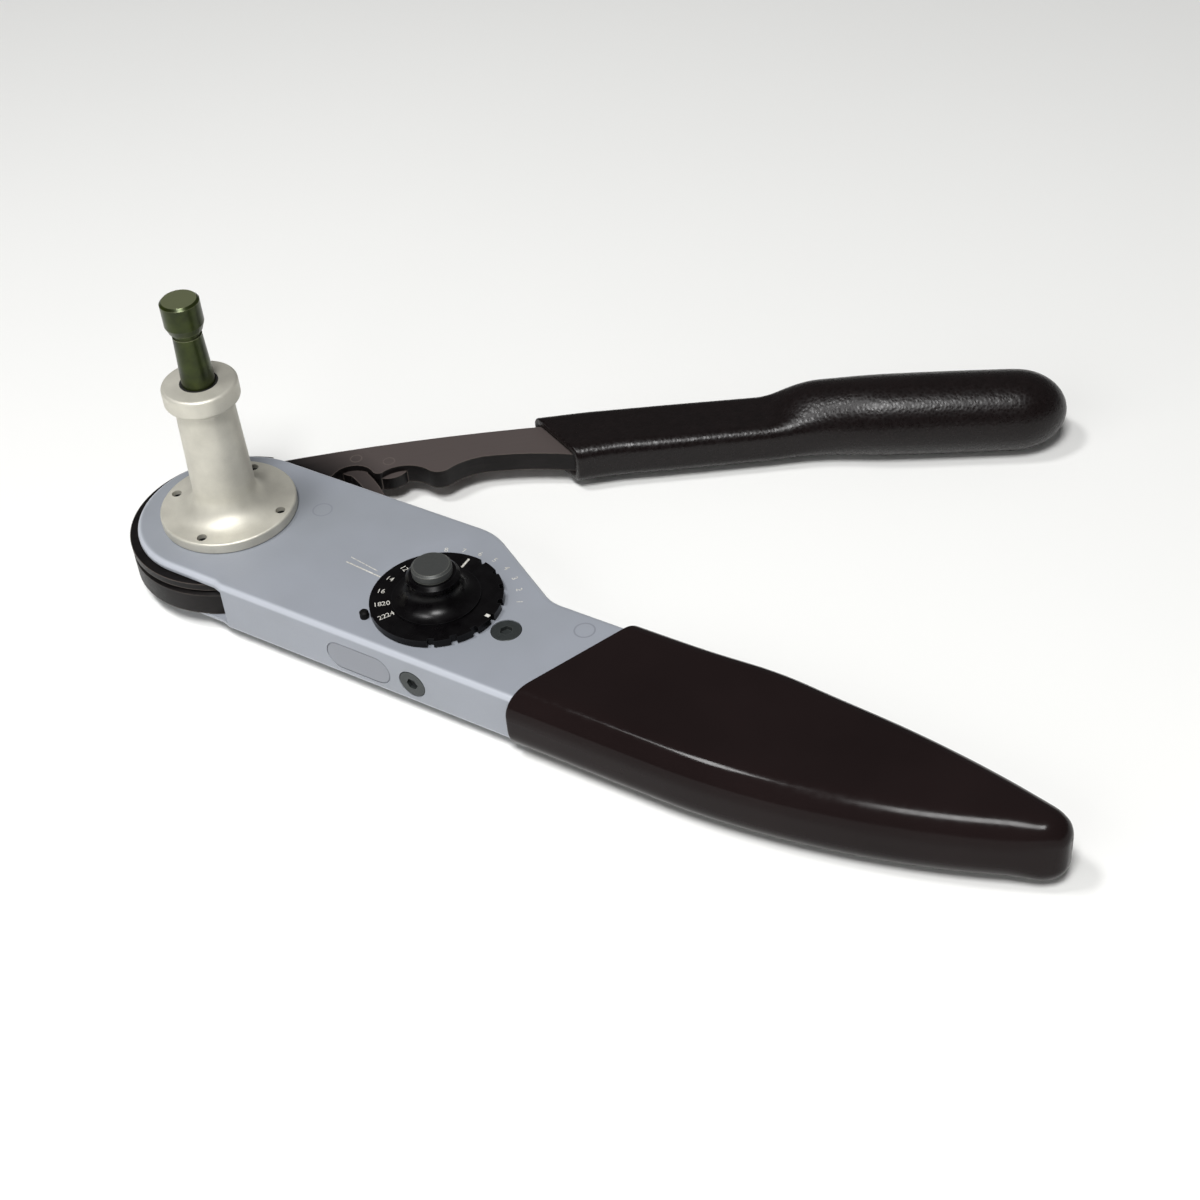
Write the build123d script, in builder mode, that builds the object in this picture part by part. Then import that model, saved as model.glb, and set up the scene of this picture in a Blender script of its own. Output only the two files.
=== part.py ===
from build123d import *
import math
import os

os.makedirs("parts", exist_ok=True)

# Frame: two plates joined by a front wall and by the solid end that carries the fixed grip
cover_t = 1.5            # indenter cover under the head
plate_t = 2.0            # top and bottom plates
frame_t = 14.0           # whole frame, over both plates
head_r = 23.5            # half-round head, as wide as the plates behind it
wall_out = 0.7           # the front wall stands out past the head
wall_lead = 2.5          # over this length
wall_t = 3.5             # front wall
wall_start_x = 16.3      # the wall's cut end, where the ring shows
shoulder_x = 65.0        # corner where the back edge turns in
shoulder_r = 16.0
neck_x = 91.1            # corner where it meets the neck
neck_y = 8.2
neck_r = 11.0
pocket_end_x = 80.0      # the space between the plates ends here
pocket_corner_r = 5.0
plate_edge_r = 1.5       # rolled edge all round the plates
tang_bend_x = 150.0      # the tang's back edge is straight up to here
tang_back_x = 190.0      # and has fallen by this much here
tang_back_fall = 2.4
tang_front_bend_x = 143.0
tang_front_x = 184.0     # the front edge has risen by this much here
tang_front_rise = 5.4
tang_end_x = 222.0
tang_end_y = -3.5
tang_end_half = 2.5
tang_corner_r = 2.0

# Fixed grip: a dipped sleeve
grip_wall = 2.0
grip_edge_r = 3.6
mouth_back_x = 114.0
mouth_front_x = 100.1

# Head: guide, cover and cam ring
entry_r = 3.0            # hole that takes the contact and the wire
guide_r = 11.5
slide_w = 5.0            # indenter, square in section
slide_fit = 0.05
slide_z = 4.8            # underside of the indenters
locator_bore_r = 2.65
cover_r = 17.1
bolt_r = 14.5            # the tower's and the cover's screws
bolt_turn = 13.2         # first screw's angle
bolt_count = 4
screw_r = 1.25
screw_head_r = 2.3
screw_head_h = 1.2
screw_slot_w = 0.6
screw_slot_depth = 0.25
cover_chamfer = 0.4
point_l = 3.2            # tapered point of an indenter
point_w = 0.5
point_h = 1.0
crown_r = 4.0            # its crowned tail

# Handle: cam ring and arm in one plate
handle_travel = 30.0     # degrees from open to closed
squeeze_depth = 1.2      # travel of each indenter over that
ring_r = 25.7            # where it stands out past the head
ring_back_r = 18.8       # inside the frame
ring_from = 105.0        # the large radius begins here
ring_back_from = 306.0   # and ends here
ring_back_to = 426.0     # the arm begins here
ring_clear = 0.3         # to the bottom plate
ring_h = 7.1
ring_chamfer = 1.4
ring_flange_t = 0.8      # thin flange that turns on the guide
land_r = 18.0
groove_h = 0.4           # open groove between ring and ring plate
ring_plate_t = 1.8
ring_rivet_r = 1.5
ring_rivet_inset = 3.9   # from the ring's edge
ring_rivet_from = 140.0
ring_rivet_pitch = 70.0
ring_rivet_count = 3
turn_fit = 0.06          # ring on guide
cam_gap = 0.2
tail_r = 14.2            # outer end of an indenter, handle open
tip_r = 1.55             # its point, handle open
cam_lead = 4.0           # degrees of spiral beyond each end of the travel
indenter_turn = 58.2     # first indenter's angle
indenter_count = 4
arm_turn = 39.0          # direction of the arm, handle open
arm_t = 5.3
arm_leave = 133.0        # the arm's outer edge leaves the ring here
arm_back_mid = (48.5, 27.9)       # points of the arm's edges, along and across it
arm_back_end = (95.0, 25.3)
scallop_a = ((25.3, 17.9), (31.0, 20.7), (35.6, 16.9))
bump_a = ((36.9, 15.8), (38.4, 16.4))
scallop_b = ((43.5, 17.8), (50.2, 14.3))
bump_b = ((52.7, 13.1), (55.4, 13.9))
rise_b = ((59.5, 16.1), (64.5, 17.1))
throat = ((76.0, 15.8), (88.0, 12.6))
arm_neck = (138.0, 10.9)          # narrower from here, inside the grip
arm_tail = (205.0, 5.6)
arm_tail_r = 4.2

# Ratchet
pawl_x = 20.9
pawl_y = 10.9
pawl_pin_r = 2.4
pawl_hub_r = 4.0
pawl_fit = 0.06
pawl_side = 0.2
pawl_nose_w = 1.0
pawl_neck_w = 2.6
pawl_neck_l = 1.5        # from there to the nose
pawl_root_w = 6.0
crest_r = 34.0
tooth_h = 1.2
tooth_pitch = 5.0        # degrees
tooth_count = 5
tooth_gap = 0.35         # pawl nose to crest
tooth_land = 0.7         # degrees of crest
tooth_space = 0.6        # degrees between two teeth's feet
tooth_foot = 0.3         # how far a tooth is rooted in the sector
first_tooth = 34.5
sector_end = 76.0
sector_t = 3.5
sector_w = 3.8
sector_lobe_r = 5.1
sector_rivet_r = 1.5
rivet_a = (40.0, 20.5)   # along and across the arm
rivet_b = (31.5, 23.6)

# Moving grip
sleeve_t = 10.8
sleeve_edge_r = 3.2
sleeve_back = ((79.0, 28.5), (95.0, 28.2), (140.0, 24.3), (165.0, 18.6))
sleeve_front = ((165.0, 7.4), (140.0, 8.0), (95.0, 10.2), (88.6, 10.0))
bulb_shoulder = 9.0      # the bulb has nearly its full radius this far along
bulb_shoulder_r = 9.7
bulb_dome = (-6.0, 5.4)  # a point of its inner end, hidden in the sleeve
bulb_r = 10.0
bulb_belly = 0.4         # it is this much fatter at its middle
bulb_z = 9.8
bulb_u = 140.0           # a point of the bulb's axis, along and across the arm
bulb_n = 16.3
bulb_tilt = -9.3
bulb_length = 76.7

# Selector
selector_x = 67.5
selector_y = -4.95
dial_r = 15.9
dial_t = 1.8
dial_gap = 0.35
notch_count = 8
notch_pitch = 20.0
notch_from = -60.0
notch_w = 1.5
notch_depth = 1.0
knob_base_r = 10.6
knob_neck_r = 5.9
knob_r = 6.4
knob_h = 7.4
knob_foot_h = 0.4
knob_waist_r = 7.0       # half way up its flare
knob_waist_h = 2.0
knob_rim_h = 1.8         # its rim, with a chamfered top
knob_rim_slope = 0.6
knob_chamfer = 0.8
cap_r = 4.8
cap_h = 2.3
cap_chamfer = 0.5
shaft_r = 2.5
shaft_fit = 0.05
shaft_inset = 0.1        # its end lies this far inside the bottom plate
step_cam_t = 4.0
step_cam_z = 5.2
step_cam_r = 6.0
step_cam_rise = 0.35
washer_r = 5.0
washer_t = 0.8
spring_wire_r = 0.35
spring_turns = 3
spring_coil_r = 3.4
index_turn = -136.0
index_gap = 0.3
index_r = 1.1
index_h = 2.0
index_chamfer = 0.4

# Locator tower and its adjusting screw
flange_r = 17.1
flange_t = 2.9
flange_edge_r = 0.5
flare_r = 6.0            # the flange flares into the tube by this radius
tube_low_r = 7.8
tube_top_r = 7.2
collar_r = 9.3
collar_h = 4.6
collar_cone_h = 1.6      # cone under the collar
collar_edge_r = 0.9
same_radius = 0.01       # edges are picked by their radius to within this
tower_screw_sink = 1.2   # screws end this far below the flange's face
tower_socket_w = 0.75
tower_socket_depth = 0.9
tower_h = 39.5           # over the top plate
tower_bore_r = 4.1
tower_bore_depth = 24.0
stem_fit = 0.06
stem_low_z = 27.0        # heights of the screw over the top plate
stem_thread_z = 41.0
stem_neck_z = 53.0
stem_top_r = 3.55
stem_groove = 0.3        # groove under the head
head_z = 54.4
head_top_z = 62.6
screw_top_r = 4.75
head_cone_in = 0.7       # cone under the head
head_cone_h = 1.8
head_chamfer = 0.6
screw_travel = 10.0
rod_fit = 0.05
rod_gap = 0.6            # between the indenters and the rod, all the way down
seal_r = 4.7
seal_t = 0.8

# Front wall and top plate fittings
window_x = 57.1
window_z = 7.7
window_l = 18.6
window_h = 7.9
window_fit = 0.05
window_t = 3.0
window_chamfer = 0.25
side_screw_x = 72.7
side_screw_z = 7.6
flush_screw_r = 3.7
flush_head_t = 1.6
flush_shank_r = 2.0
flush_chamfer = 0.3
flush_socket_w = 1.6
flush_socket_depth = 1.1
top_screw_x = 87.5
top_screw_y = -5.6
top_screw_l = 9.0
dowel_x = 103.7
dowel_y = 2.7
dowel_r = 2.4

# Heights and places worked out from the sizes above
frame_z = cover_t
top_z = frame_z + frame_t
pocket_z = frame_z + plate_t
pocket_top_z = top_z - plate_t
ring_z = pocket_z + ring_clear
ring_top_z = ring_z + ring_h
ring_plate_z = ring_top_z + groove_h
ring_rivet_at = ring_r - ring_rivet_inset
wall_y = -head_r - wall_out  # outer face of the front wall
flange_top = top_z + flange_t
tower_top = top_z + tower_h
cam_slope = squeeze_depth / handle_travel
indenter_turns = [indenter_turn + 360 * i / indenter_count for i in range(indenter_count)]


def at(radius, degrees):
    """Point at a radius and an angle from the crimp axis."""
    a = math.radians(degrees)
    return (radius * math.cos(a), radius * math.sin(a))


def level(z, turn=0.0, x=0.0, y=0.0):
    """Horizontal plane at a height, turned about the vertical."""
    return Plane(origin=(x, y, z), x_dir=(*at(1, turn), 0), z_dir=(0, 0, 1))


def keep(piece, label):
    """Names a finished piece and writes it."""
    piece.part.label = label
    export_step(piece.part, f"parts/{label}.step")


# Plan of the whole frame, from head to the end of the tang
with BuildSketch() as frame_plan:
    with BuildLine():
        Line((0, head_r), (shoulder_x, head_r))
        Line((shoulder_x, head_r), (neck_x, neck_y))
        Line((neck_x, neck_y), (tang_bend_x, neck_y))
        tip_back = (tang_end_x, tang_end_y + tang_end_half)
        tip_front = (tang_end_x, tang_end_y - tang_end_half)
        ThreePointArc((tang_bend_x, neck_y), (tang_back_x, neck_y - tang_back_fall), tip_back)
        Line(tip_back, tip_front)
        front_bend = (tang_front_bend_x, wall_y)
        ThreePointArc(tip_front, (tang_front_x, wall_y + tang_front_rise), front_bend)
        Polyline(front_bend, (wall_start_x, wall_y), (wall_start_x - wall_lead, -head_r), (0, -head_r))
        ThreePointArc((0, -head_r), (-head_r, 0), (0, head_r))
    make_face()
    fillet(frame_plan.vertices().sort_by_distance((shoulder_x, head_r))[0], shoulder_r)
    fillet(frame_plan.vertices().sort_by_distance((neck_x, neck_y))[0], neck_r)
    for tip in (tip_back, tip_front):
        fillet(frame_plan.vertices().sort_by_distance(tip)[0], tang_corner_r)

# Space between the plates, open at the head and along the back edge
with BuildSketch() as pocket_plan:
    with Locations((pocket_end_x / 2 - head_r, 0)):
        Rectangle(pocket_end_x + 2 * head_r, 4 * head_r)
    with Locations((wall_start_x, wall_y + wall_t)):
        Rectangle(pocket_end_x, head_r, align=(Align.MIN, Align.MAX), mode=Mode.SUBTRACT)
    inner_corner = (pocket_end_x, wall_y + wall_t)
    fillet(pocket_plan.vertices().sort_by_distance(inner_corner)[0], pocket_corner_r)

with BuildPart() as frame:
    with BuildSketch(level(frame_z)):
        add(frame_plan.sketch)
    extrude(amount=frame_t)
    fillet(frame.faces().sort_by(Axis.Z)[-1].edges() + frame.faces().sort_by(Axis.Z)[0].edges(),
           plate_edge_r)
    with BuildSketch(level(pocket_z)):
        add(pocket_plan.sketch)
    extrude(amount=frame_t - 2 * plate_t, mode=Mode.SUBTRACT)
    with BuildSketch(level(frame_z)):
        Circle(guide_r)
        with Locations((pawl_x, pawl_y), (dowel_x, dowel_y)):
            Circle(pawl_pin_r)
        with Locations((selector_x, selector_y)):
            Circle(shaft_r + shaft_fit)
        with PolarLocations(bolt_r, bolt_count, bolt_turn):
            Circle(screw_r)
    extrude(amount=frame_t, mode=Mode.SUBTRACT)
    with BuildSketch(level(top_z)):
        with Locations((top_screw_x, top_screw_y)):
            Circle(flush_screw_r)
    extrude(amount=-flush_head_t, mode=Mode.SUBTRACT)
    with BuildSketch(level(top_z)):
        with Locations((top_screw_x, top_screw_y)):
            Circle(flush_shank_r)
    extrude(amount=-top_screw_l, mode=Mode.SUBTRACT)
    index_place = at(dial_r + index_gap + index_r, index_turn)
    with BuildSketch(level(top_z)):
        with Locations((selector_x + index_place[0], selector_y + index_place[1])):
            Circle(index_r)
    extrude(amount=-plate_t, mode=Mode.SUBTRACT)
    wall_face = Plane(origin=(0, wall_y, 0), x_dir=(1, 0, 0), z_dir=(0, -1, 0))
    with BuildSketch(wall_face):
        with Locations((window_x, window_z)):
            SlotOverall(window_l, window_h)
        with Locations((side_screw_x, side_screw_z)):
            Circle(flush_shank_r)
    extrude(amount=-wall_t, mode=Mode.SUBTRACT)
    with BuildSketch(wall_face):
        with Locations((side_screw_x, side_screw_z)):
            Circle(flush_screw_r)
    extrude(amount=-flush_head_t, mode=Mode.SUBTRACT)
keep(frame, "frame")

# Dipped grip over the tang, cut off along a slanted mouth
with BuildPart() as fixed_grip:
    with BuildSketch(level(frame_z - grip_wall)):
        add(frame_plan.sketch)
        offset(amount=grip_wall, kind=Kind.INTERSECTION)
        mouth_slope = (mouth_back_x - mouth_front_x) / (neck_y - wall_y + 2 * grip_wall)
        with BuildLine():
            reach = 2 * head_r
            Polyline(
                (mouth_back_x + mouth_slope * reach, neck_y + reach),
                (tang_end_x + reach, neck_y + reach),
                (tang_end_x + reach, wall_y - reach),
                (mouth_front_x - mouth_slope * reach, wall_y - reach),
                close=True,
            )
        make_face(mode=Mode.INTERSECT)
    extrude(amount=frame_t + 2 * grip_wall)
    rim = fixed_grip.faces().sort_by(Axis.Z)[-1].edges() + fixed_grip.faces().sort_by(Axis.Z)[0].edges()
    fillet(rim.filter_by(lambda e: e.center().X > mouth_back_x), grip_edge_r)
    add(frame.part, mode=Mode.SUBTRACT)
keep(fixed_grip, "fixed_grip")

# Guide that carries the four indenters, pressed into both plates
with BuildPart() as indenter_guide:
    with BuildSketch(level(frame_z)):
        Circle(guide_r)
        Circle(entry_r, mode=Mode.SUBTRACT)
    extrude(amount=slide_z - frame_z)
    with BuildSketch(level(slide_z)):
        Circle(guide_r)
        Circle(entry_r, mode=Mode.SUBTRACT)
        with PolarLocations(0, indenter_count, indenter_turn):
            Rectangle(2 * guide_r, slide_w + 2 * slide_fit, mode=Mode.SUBTRACT)
    extrude(amount=slide_w + slide_fit)
    with BuildSketch(level(slide_z + slide_w + slide_fit)):
        Circle(guide_r)
        Circle(locator_bore_r, mode=Mode.SUBTRACT)
    extrude(amount=top_z - slide_z - slide_w - slide_fit)
keep(indenter_guide, "indenter_guide")

with BuildPart() as indenter_cover:
    with BuildSketch():
        Circle(cover_r)
        Circle(entry_r, mode=Mode.SUBTRACT)
        with PolarLocations(bolt_r, bolt_count, bolt_turn):
            Circle(screw_r, mode=Mode.SUBTRACT)
    extrude(amount=cover_t)
    chamfer(indenter_cover.edges().group_by(Axis.Z)[0].sort_by(SortBy.RADIUS)[-1], cover_chamfer)
    with PolarLocations(bolt_r, bolt_count, bolt_turn):
        Cone(screw_head_r, screw_r, screw_head_h, mode=Mode.SUBTRACT,
             align=(Align.CENTER, Align.CENTER, Align.MIN))
keep(indenter_cover, "indenter_cover")

with BuildPart() as cover_screws:
    with PolarLocations(bolt_r, bolt_count, bolt_turn):
        Cone(screw_head_r, screw_r, screw_head_h, align=(Align.CENTER, Align.CENTER, Align.MIN))
        Cylinder(screw_r, pocket_z, align=(Align.CENTER, Align.CENTER, Align.MIN))
        Box(screw_slot_w, 2 * screw_head_r, 2 * screw_slot_depth, mode=Mode.SUBTRACT)
keep(cover_screws, "cover_screws")


def cam_radius(turn_back):
    """Radius of the cam over an indenter when the handle has closed by this many degrees."""
    return tail_r + cam_gap - cam_slope * turn_back


# Inner outline of the ring: one falling spiral and one easy return for each indenter
with BuildSketch() as cam_plan:
    with BuildLine():
        for turn in indenter_turns:
            spiral_start = at(cam_radius(-cam_lead), turn - cam_lead)
            spiral_mid = at(cam_radius(handle_travel / 2), turn + handle_travel / 2)
            spiral_end = at(cam_radius(handle_travel + cam_lead), turn + handle_travel + cam_lead)
            next_start = at(cam_radius(-cam_lead), turn + 360 / indenter_count - cam_lead)
            rise_turn = turn + (handle_travel + 360 / indenter_count) / 2
            ThreePointArc(spiral_start, spiral_mid, spiral_end)
            ThreePointArc(spiral_end, at(cam_radius(0), rise_turn), next_start)
    make_face()

# Plan of the ring alone: large where the head is open, small beside the pawl
with BuildSketch() as ring_plan:
    Circle(ring_back_r)
    with BuildLine():
        arc_mid = (ring_from + ring_back_from) / 2
        Line((0, 0), at(ring_r, ring_from))
        ThreePointArc(at(ring_r, ring_from), at(ring_r, arc_mid), at(ring_r, ring_back_from))
        Line(at(ring_r, ring_back_from), (0, 0))
    make_face()

# Plan of the rivets that hold the ring plate on the ring
with BuildSketch() as rivet_plan:
    with PolarLocations(ring_rivet_at, ring_rivet_count, ring_rivet_from,
                        ring_rivet_pitch * (ring_rivet_count - 1), endpoint=True):
        Circle(ring_rivet_r)

# Plan of the arm in its own axes: x along the arm, y across it
with BuildSketch() as arm_plan:
    with BuildLine():
        leave = at(ring_r, arm_leave - arm_turn)
        tail_back = (arm_tail[0], arm_tail[1] + arm_tail_r)
        tail_front = (arm_tail[0], arm_tail[1] - arm_tail_r)
        ThreePointArc(leave, arm_back_mid, arm_back_end)
        Line(arm_back_end, tail_back)
        ThreePointArc(tail_back, (arm_tail[0] + arm_tail_r, arm_tail[1]), tail_front)
        Line(tail_front, arm_neck)
        Line(arm_neck, throat[1])
        ThreePointArc(throat[1], throat[0], rise_b[1])
        ThreePointArc(rise_b[1], rise_b[0], bump_b[1])
        ThreePointArc(bump_b[1], bump_b[0], scallop_b[1])
        ThreePointArc(scallop_b[1], scallop_b[0], bump_a[1])
        ThreePointArc(bump_a[1], bump_a[0], scallop_a[2])
        ThreePointArc(scallop_a[2], scallop_a[1], scallop_a[0])
        root = at(ring_back_r, ring_back_to - arm_turn)
        Line(scallop_a[0], root)
        Line(root, (0, 0))
        Line((0, 0), leave)
    make_face()

# Plan of the toothed sector in the arm's axes
with BuildSketch() as sector_plan:
    sector_in = crest_r + tooth_h
    sector_out = sector_in + sector_w
    end_turn = sector_end - arm_turn
    start_turn = first_tooth - tooth_pitch / 2 - arm_turn
    mid_turn = (start_turn + end_turn) / 2
    with BuildLine():
        ThreePointArc(at(sector_in, start_turn), at(sector_in, mid_turn), at(sector_in, end_turn))
        Line(at(sector_in, end_turn), at(sector_out, end_turn))
        ThreePointArc(at(sector_out, end_turn), at(sector_out, mid_turn), at(sector_out, start_turn))
        Line(at(sector_out, start_turn), at(sector_in, start_turn))
    make_face()
    with Locations(rivet_a, rivet_b):
        Circle(sector_lobe_r)
    for i in range(tooth_count):
        turn = first_tooth + i * tooth_pitch - arm_turn
        half = (tooth_pitch - tooth_space) / 2
        with BuildLine():
            Polyline(
                at(sector_in + tooth_foot, turn - half),
                at(crest_r, turn - tooth_land / 2),
                at(crest_r, turn + tooth_land / 2),
                at(sector_in + tooth_foot, turn + half),
                close=True,
            )
        make_face()

with BuildPart() as handle_arm:
    with BuildSketch(level(ring_z)):
        add(ring_plan.sketch)
    extrude(amount=ring_h)
    outer_rim = handle_arm.edges().group_by(Axis.Z)[-1].filter_by(GeomType.CIRCLE).sort_by(SortBy.RADIUS)[-1]
    chamfer(outer_rim, ring_chamfer)
    with BuildSketch(level(ring_z, arm_turn)):
        add(arm_plan.sketch)
    extrude(amount=arm_t)
    with BuildSketch(level(ring_top_z)):
        Circle(land_r)
    extrude(amount=groove_h)
    with BuildSketch(level(ring_z)):
        Circle(guide_r + turn_fit)
    extrude(amount=ring_flange_t, mode=Mode.SUBTRACT)
    with BuildSketch(level(ring_z + ring_flange_t)):
        add(cam_plan.sketch)
    extrude(amount=ring_h + groove_h - ring_flange_t, mode=Mode.SUBTRACT)
    with BuildSketch(level(ring_z)):
        add(rivet_plan.sketch)
    extrude(amount=ring_h, mode=Mode.SUBTRACT)
    with BuildSketch(level(ring_z, arm_turn)):
        add(sector_plan.sketch)
    extrude(amount=sector_t, mode=Mode.SUBTRACT)
    with BuildSketch(level(ring_z, arm_turn)):
        with Locations(rivet_a, rivet_b):
            Circle(sector_rivet_r)
    extrude(amount=arm_t, mode=Mode.SUBTRACT)
keep(handle_arm, "handle_arm")

with BuildPart() as ratchet_sector:
    with BuildSketch(level(ring_z, arm_turn)):
        add(sector_plan.sketch)
        with Locations(rivet_a, rivet_b):
            Circle(sector_rivet_r, mode=Mode.SUBTRACT)
    extrude(amount=sector_t)
keep(ratchet_sector, "ratchet_sector")

with BuildPart() as sector_rivets:
    with BuildSketch(level(ring_z, arm_turn)):
        with Locations(rivet_a, rivet_b):
            Circle(sector_rivet_r)
    extrude(amount=arm_t)
keep(sector_rivets, "sector_rivets")

with BuildPart() as ring_plate:
    with BuildSketch(level(ring_plate_z)):
        add(ring_plan.sketch)
        Circle(guide_r + turn_fit, mode=Mode.SUBTRACT)
        add(rivet_plan.sketch, mode=Mode.SUBTRACT)
    extrude(amount=ring_plate_t)
keep(ring_plate, "ring_plate")

with BuildPart() as ring_rivets:
    with BuildSketch(level(ring_z)):
        add(rivet_plan.sketch)
    extrude(amount=ring_plate_z + ring_plate_t - ring_z)
keep(ring_rivets, "ring_rivets")

# Four indenters: square bars with a crowned tail and a tapered point
for number, turn in enumerate(indenter_turns, start=1):
    with BuildPart() as indenter:
        with BuildSketch(level(slide_z, turn)):
            crown_x = tail_r - crown_r + math.sqrt(crown_r**2 - (slide_w / 2) ** 2)
            with BuildLine():
                ThreePointArc((crown_x, slide_w / 2), (tail_r, 0), (crown_x, -slide_w / 2))
                Polyline(
                    (crown_x, -slide_w / 2),
                    (tip_r + point_l, -slide_w / 2),
                    (tip_r, -point_w / 2),
                    (tip_r, point_w / 2),
                    (tip_r + point_l, slide_w / 2),
                    (crown_x, slide_w / 2),
                )
            make_face()
        extrude(amount=slide_w)
        slide_mid = (0, 0, slide_z + slide_w / 2)
        side = Plane(origin=slide_mid, x_dir=(*at(1, turn), 0), z_dir=(*at(1, turn - 90), 0))
        with BuildSketch(side):
            with BuildLine():
                Polyline(
                    (tip_r, point_h / 2),
                    (tip_r + point_l, slide_w / 2),
                    (tail_r, slide_w / 2),
                    (tail_r, -slide_w / 2),
                    (tip_r + point_l, -slide_w / 2),
                    (tip_r, -point_h / 2),
                    close=True,
                )
            make_face()
        extrude(amount=slide_w, both=True, mode=Mode.INTERSECT)
    keep(indenter, f"indenter_{number}")

# Pawl on its pin, with its nose just clear of the teeth
pawl_turn = math.degrees(math.atan2(pawl_y, pawl_x))
pawl_reach = crest_r - tooth_gap - math.hypot(pawl_x, pawl_y)
with BuildPart() as ratchet_pawl:
    with BuildSketch(level(ring_z, pawl_turn, pawl_x, pawl_y)):
        Circle(pawl_hub_r)
        with BuildLine():
            Polyline(
                (0, pawl_root_w / 2),
                (pawl_reach - pawl_neck_l, pawl_neck_w / 2),
                (pawl_reach, pawl_nose_w / 2),
                (pawl_reach, -pawl_nose_w / 2),
                (pawl_reach - pawl_neck_l, -pawl_neck_w / 2),
                (0, -pawl_root_w / 2),
                close=True,
            )
        make_face()
    extrude(amount=sector_t)
    with BuildSketch(level(pocket_z + pawl_side, 0, pawl_x, pawl_y)):
        Circle(pawl_hub_r)
    extrude(amount=pocket_top_z - pocket_z - 2 * pawl_side)
    with BuildSketch(level(pocket_z, 0, pawl_x, pawl_y)):
        Circle(pawl_pin_r + pawl_fit)
    extrude(amount=frame_t, mode=Mode.SUBTRACT)
keep(ratchet_pawl, "ratchet_pawl")

with BuildPart() as pawl_pin:
    with BuildSketch(level(frame_z, 0, pawl_x, pawl_y)):
        Circle(pawl_pin_r)
    extrude(amount=frame_t)
keep(pawl_pin, "pawl_pin")

with BuildPart() as tang_dowel:
    with BuildSketch(level(frame_z, 0, dowel_x, dowel_y)):
        Circle(dowel_r)
    extrude(amount=frame_t)
keep(tang_dowel, "tang_dowel")

# Moving grip: a flat sleeve that swells into a round bulb
with BuildPart() as moving_grip:
    arm_mid_z = ring_z + arm_t / 2
    with BuildSketch(level(arm_mid_z - sleeve_t / 2, arm_turn)):
        with BuildLine():
            Polyline(*sleeve_back, *sleeve_front, close=True)
        make_face()
    extrude(amount=sleeve_t)
    rims = moving_grip.faces().sort_by(Axis.Z)[-1].edges() + moving_grip.faces().sort_by(Axis.Z)[0].edges()
    along_arm = Axis((0, 0, 0), (*at(1, arm_turn), 0))
    ends = moving_grip.faces().sort_by(along_arm)
    fillet(rims - ends[0].edges() - ends[-1].edges(), sleeve_edge_r)
    bulb_start = Vector(bulb_u, bulb_n).rotate(Axis.Z, arm_turn)
    axis_plane = level(bulb_z, arm_turn + bulb_tilt, bulb_start.X, bulb_start.Y)
    with BuildSketch(axis_plane):
        with BuildLine():
            bulb_end = bulb_length - bulb_r
            round_mid = (bulb_end + at(bulb_r, 45)[0], at(bulb_r, 45)[1])
            shoulder = (bulb_shoulder, bulb_shoulder_r)
            ThreePointArc((-bulb_r, 0), bulb_dome, shoulder)
            ThreePointArc(shoulder, (bulb_end / 2, bulb_r + bulb_belly), (bulb_end, bulb_r))
            ThreePointArc((bulb_end, bulb_r), round_mid, (bulb_length, 0))
            Line((bulb_length, 0), (-bulb_r, 0))
        make_face()
    revolve(axis=Axis(axis_plane.origin, axis_plane.x_dir))
    add(handle_arm.part, mode=Mode.SUBTRACT)
keep(moving_grip, "moving_grip")

# Tower turned from bar: flange, flare, tapered tube and collar
with BuildPart() as locator_tower:
    with BuildSketch(Plane.XZ):
        with BuildLine():
            flare_foot_r = tube_low_r + flare_r
            flare_top = flange_top + flare_r
            collar_low = tower_top - collar_h
            Line((0, top_z), (flange_r, top_z))
            Line((flange_r, top_z), (flange_r, flange_top))
            Line((flange_r, flange_top), (flare_foot_r, flange_top))
            bow = (flare_foot_r - at(flare_r, 45)[0], flare_top - at(flare_r, 45)[1])
            ThreePointArc((flare_foot_r, flange_top), bow, (tube_low_r, flare_top))
            Line((tube_low_r, flare_top), (tube_top_r, collar_low - collar_cone_h))
            Line((tube_top_r, collar_low - collar_cone_h), (collar_r, collar_low))
            Line((collar_r, collar_low), (collar_r, tower_top))
            Line((collar_r, tower_top), (0, tower_top))
            Line((0, tower_top), (0, top_z))
        make_face()
    revolve(axis=Axis.Z)
    rims = locator_tower.edges().filter_by(GeomType.CIRCLE)
    fillet(rims.filter_by(lambda e: abs(e.radius - collar_r) < same_radius), collar_edge_r)
    fillet(rims.filter_by(lambda e: abs(e.radius - flange_r) < same_radius), flange_edge_r)
    with BuildSketch(level(top_z)):
        Circle(locator_bore_r)
        with PolarLocations(bolt_r, bolt_count, bolt_turn):
            Circle(screw_r)
    extrude(amount=tower_h, mode=Mode.SUBTRACT)
    with BuildSketch(level(tower_top)):
        Circle(tower_bore_r)
    extrude(amount=-tower_bore_depth, mode=Mode.SUBTRACT)
    with BuildSketch(level(tower_top)):
        Circle(seal_r)
    extrude(amount=-seal_t, mode=Mode.SUBTRACT)
keep(locator_tower, "locator_tower")

with BuildPart() as tower_screws:
    with BuildSketch(level(pocket_top_z)):
        with PolarLocations(bolt_r, bolt_count, bolt_turn):
            Circle(screw_r)
    extrude(amount=plate_t + flange_t - tower_screw_sink)
    with BuildSketch(level(flange_top - tower_screw_sink)):
        with PolarLocations(bolt_r, bolt_count, bolt_turn):
            RegularPolygon(tower_socket_w, 6)
    extrude(amount=-tower_socket_depth, mode=Mode.SUBTRACT)
keep(tower_screws, "tower_screws")

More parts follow.
